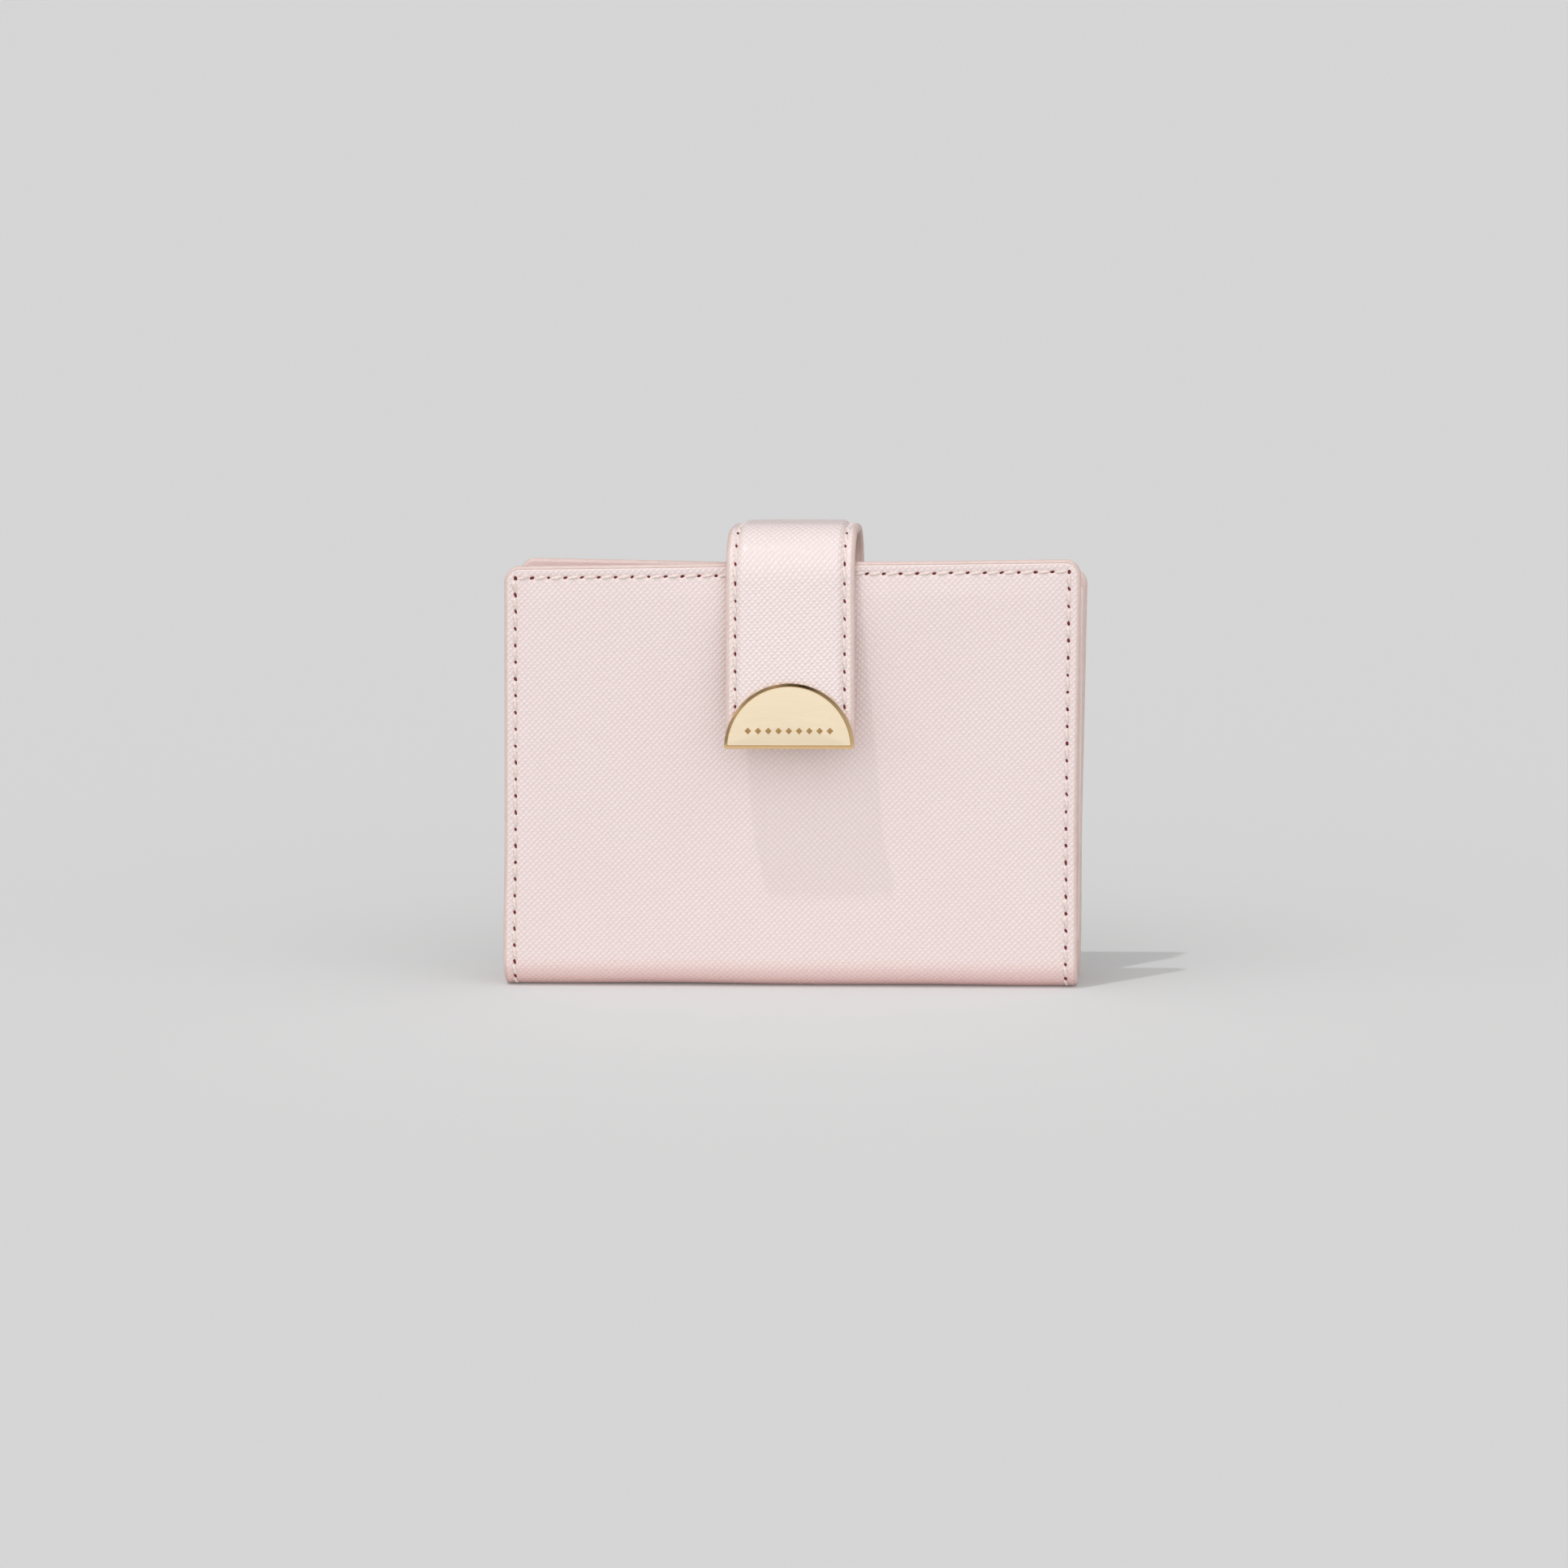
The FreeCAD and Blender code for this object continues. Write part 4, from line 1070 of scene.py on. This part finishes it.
def studio():
    """A bright wall of light in front, a dim room all round, and the backdrop's plain grey in view."""
    world = bpy.data.worlds.new("studio")
    bpy.context.scene.world = world
    world.use_nodes = True
    tree = world.node_tree
    place = tree.nodes.new("ShaderNodeTexCoord")
    split = tree.nodes.new("ShaderNodeSeparateXYZ")
    tree.links.new(place.outputs["Generated"], split.inputs[0])
    in_front = world_part(tree, split.outputs[1], 0.2, -0.5)
    not_high = world_part(tree, split.outputs[2], 0.95, 0.55)
    wall = math_node(tree, "MULTIPLY", in_front, not_high)
    room = math_node(tree, "MULTIPLY", world_part(tree, split.outputs[2], 0.99, 0.9), ROOM_LIGHT)
    light = math_node(tree, "MULTIPLY_ADD", wall, WALL_LIGHT, room)
    rays = tree.nodes.new("ShaderNodeLightPath")
    seen = tree.nodes.new("ShaderNodeMix")
    tree.links.new(rays.outputs["Is Camera Ray"], seen.inputs[0])
    tree.links.new(light, seen.inputs[2])
    seen.inputs[3].default_value = BACKDROP
    tree.links.new(seen.outputs[0], tree.nodes["Background"].inputs["Strength"])
    tree.nodes["Background"].inputs["Color"].default_value = (1, 1, 1, 1)
    sun("key", (0.24, 0.285, -1.0), 0.70, 1.5)
    sun("top_fill", (0.0, 0.1, -1.0), 0.92, 90.0).visible_glossy = False
    bpy.context.scene.view_settings.view_transform = "Standard"
    bpy.context.scene.view_settings.look = "None"


# ---- building ----
place_camera(target=(-0.0018, -0.0095, 0.0395), azimuth=5.2, elevation=8.0, roll=-0.6, distance=1.1,
             frame_width=0.2995)

for side, body, word in ((BACK, "back_half", "back"), (FRONT, "front_half", "front")):
    skin = dress(cover_skin(side, f"{word}_cover_skin"), "leather", "edge", "edge")
    fold_blend(skin)
    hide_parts(f"{word}_cover_leather", f"{word}_crease_leather", f"{word}_cover_board")
    lining = dress(lining_sheet(side, f"{word}_lining_sheet"), "lining")
    fold_blend(lining)
    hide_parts(f"{word}_cover_lining", f"{word}_crease_lining")
    thread, holes = cover_seam(side, f"{word}_seam", STRAP_HALF + 1.0 if side == BACK else 0.0)
    for piece in (thread, holes):
        fold_blend(piece)
    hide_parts(f"{word}_cover_thread")
    if side == BACK:
        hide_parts("spine_leather", "spine_board")
        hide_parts("spine_lining")

strap_looks = ("strap", "edge", "strap_lining_painted_bounce")
strap_back = dress(strap_sheet("strap_back", 0.0, ARCH_MIDDLE, True, False), *strap_looks)
strap_front = dress(strap_sheet("strap_front", ARCH_MIDDLE, STRAP.length, False, True), *strap_looks)
strap_blend(strap_back, BACK_BEND)
strap_blend(strap_front, FRONT_BEND)
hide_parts("strap_root_leather", "strap_root_filler", "strap_root_lining", "strap_arch_leather",
            "strap_arch_filler", "strap_arch_lining")
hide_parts("strap_tab_leather", "strap_tab_filler", "strap_tab_lining")
back_thread, back_holes = strap_seam("strap_back_seam", 3.0, ARCH_MIDDLE, 3.0)
front_thread, front_holes = strap_seam("strap_front_seam", ARCH_MIDDLE, PLATE_S - 8.0)
for piece in (back_thread, back_holes):
    strap_blend(piece, BACK_BEND)
for piece in (front_thread, front_holes):
    strap_blend(piece, FRONT_BEND)
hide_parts("strap_root_thread", "strap_arch_thread")
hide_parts("strap_tab_thread")

plate = make_plate()
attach(plate, "strap_tab")
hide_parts("half_moon_plate")
ornament = make_lozenges()
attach(ornament, "strap_tab")

CAD_LOOKS = {
    "lining": ("coin_back_wall", "coin_front_wall", "coin_gusset", "back_card_slot_1",
               "back_card_slot_2", "back_card_slot_3", "front_card_slot_1", "front_card_slot_2",
               "front_card_slot_3", "front_card_slot_4"),
    "tape": ("zip_tape_back", "zip_tape_front"),
    "gold": ("zip_teeth_back", "zip_teeth_front", "zip_stops", "zip_slider", "zip_pull"),
    "snap": ("snap_socket", "snap_rivet", "snap_stud", "stud_backplate"),
}
for key, names in CAD_LOOKS.items():
    for node in names:
        for slot in frame["nodes"][node].material_slots:
            slot.link = "OBJECT"
            slot.material = LOOKS[key]

wall = dress(pocket_wall(), "pocket")
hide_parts("bill_divider")
pocket_thread, pocket_holes = pocket_seam()
for piece in (wall, pocket_thread, pocket_holes):
    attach(piece, "back_half")

stage()
studio()
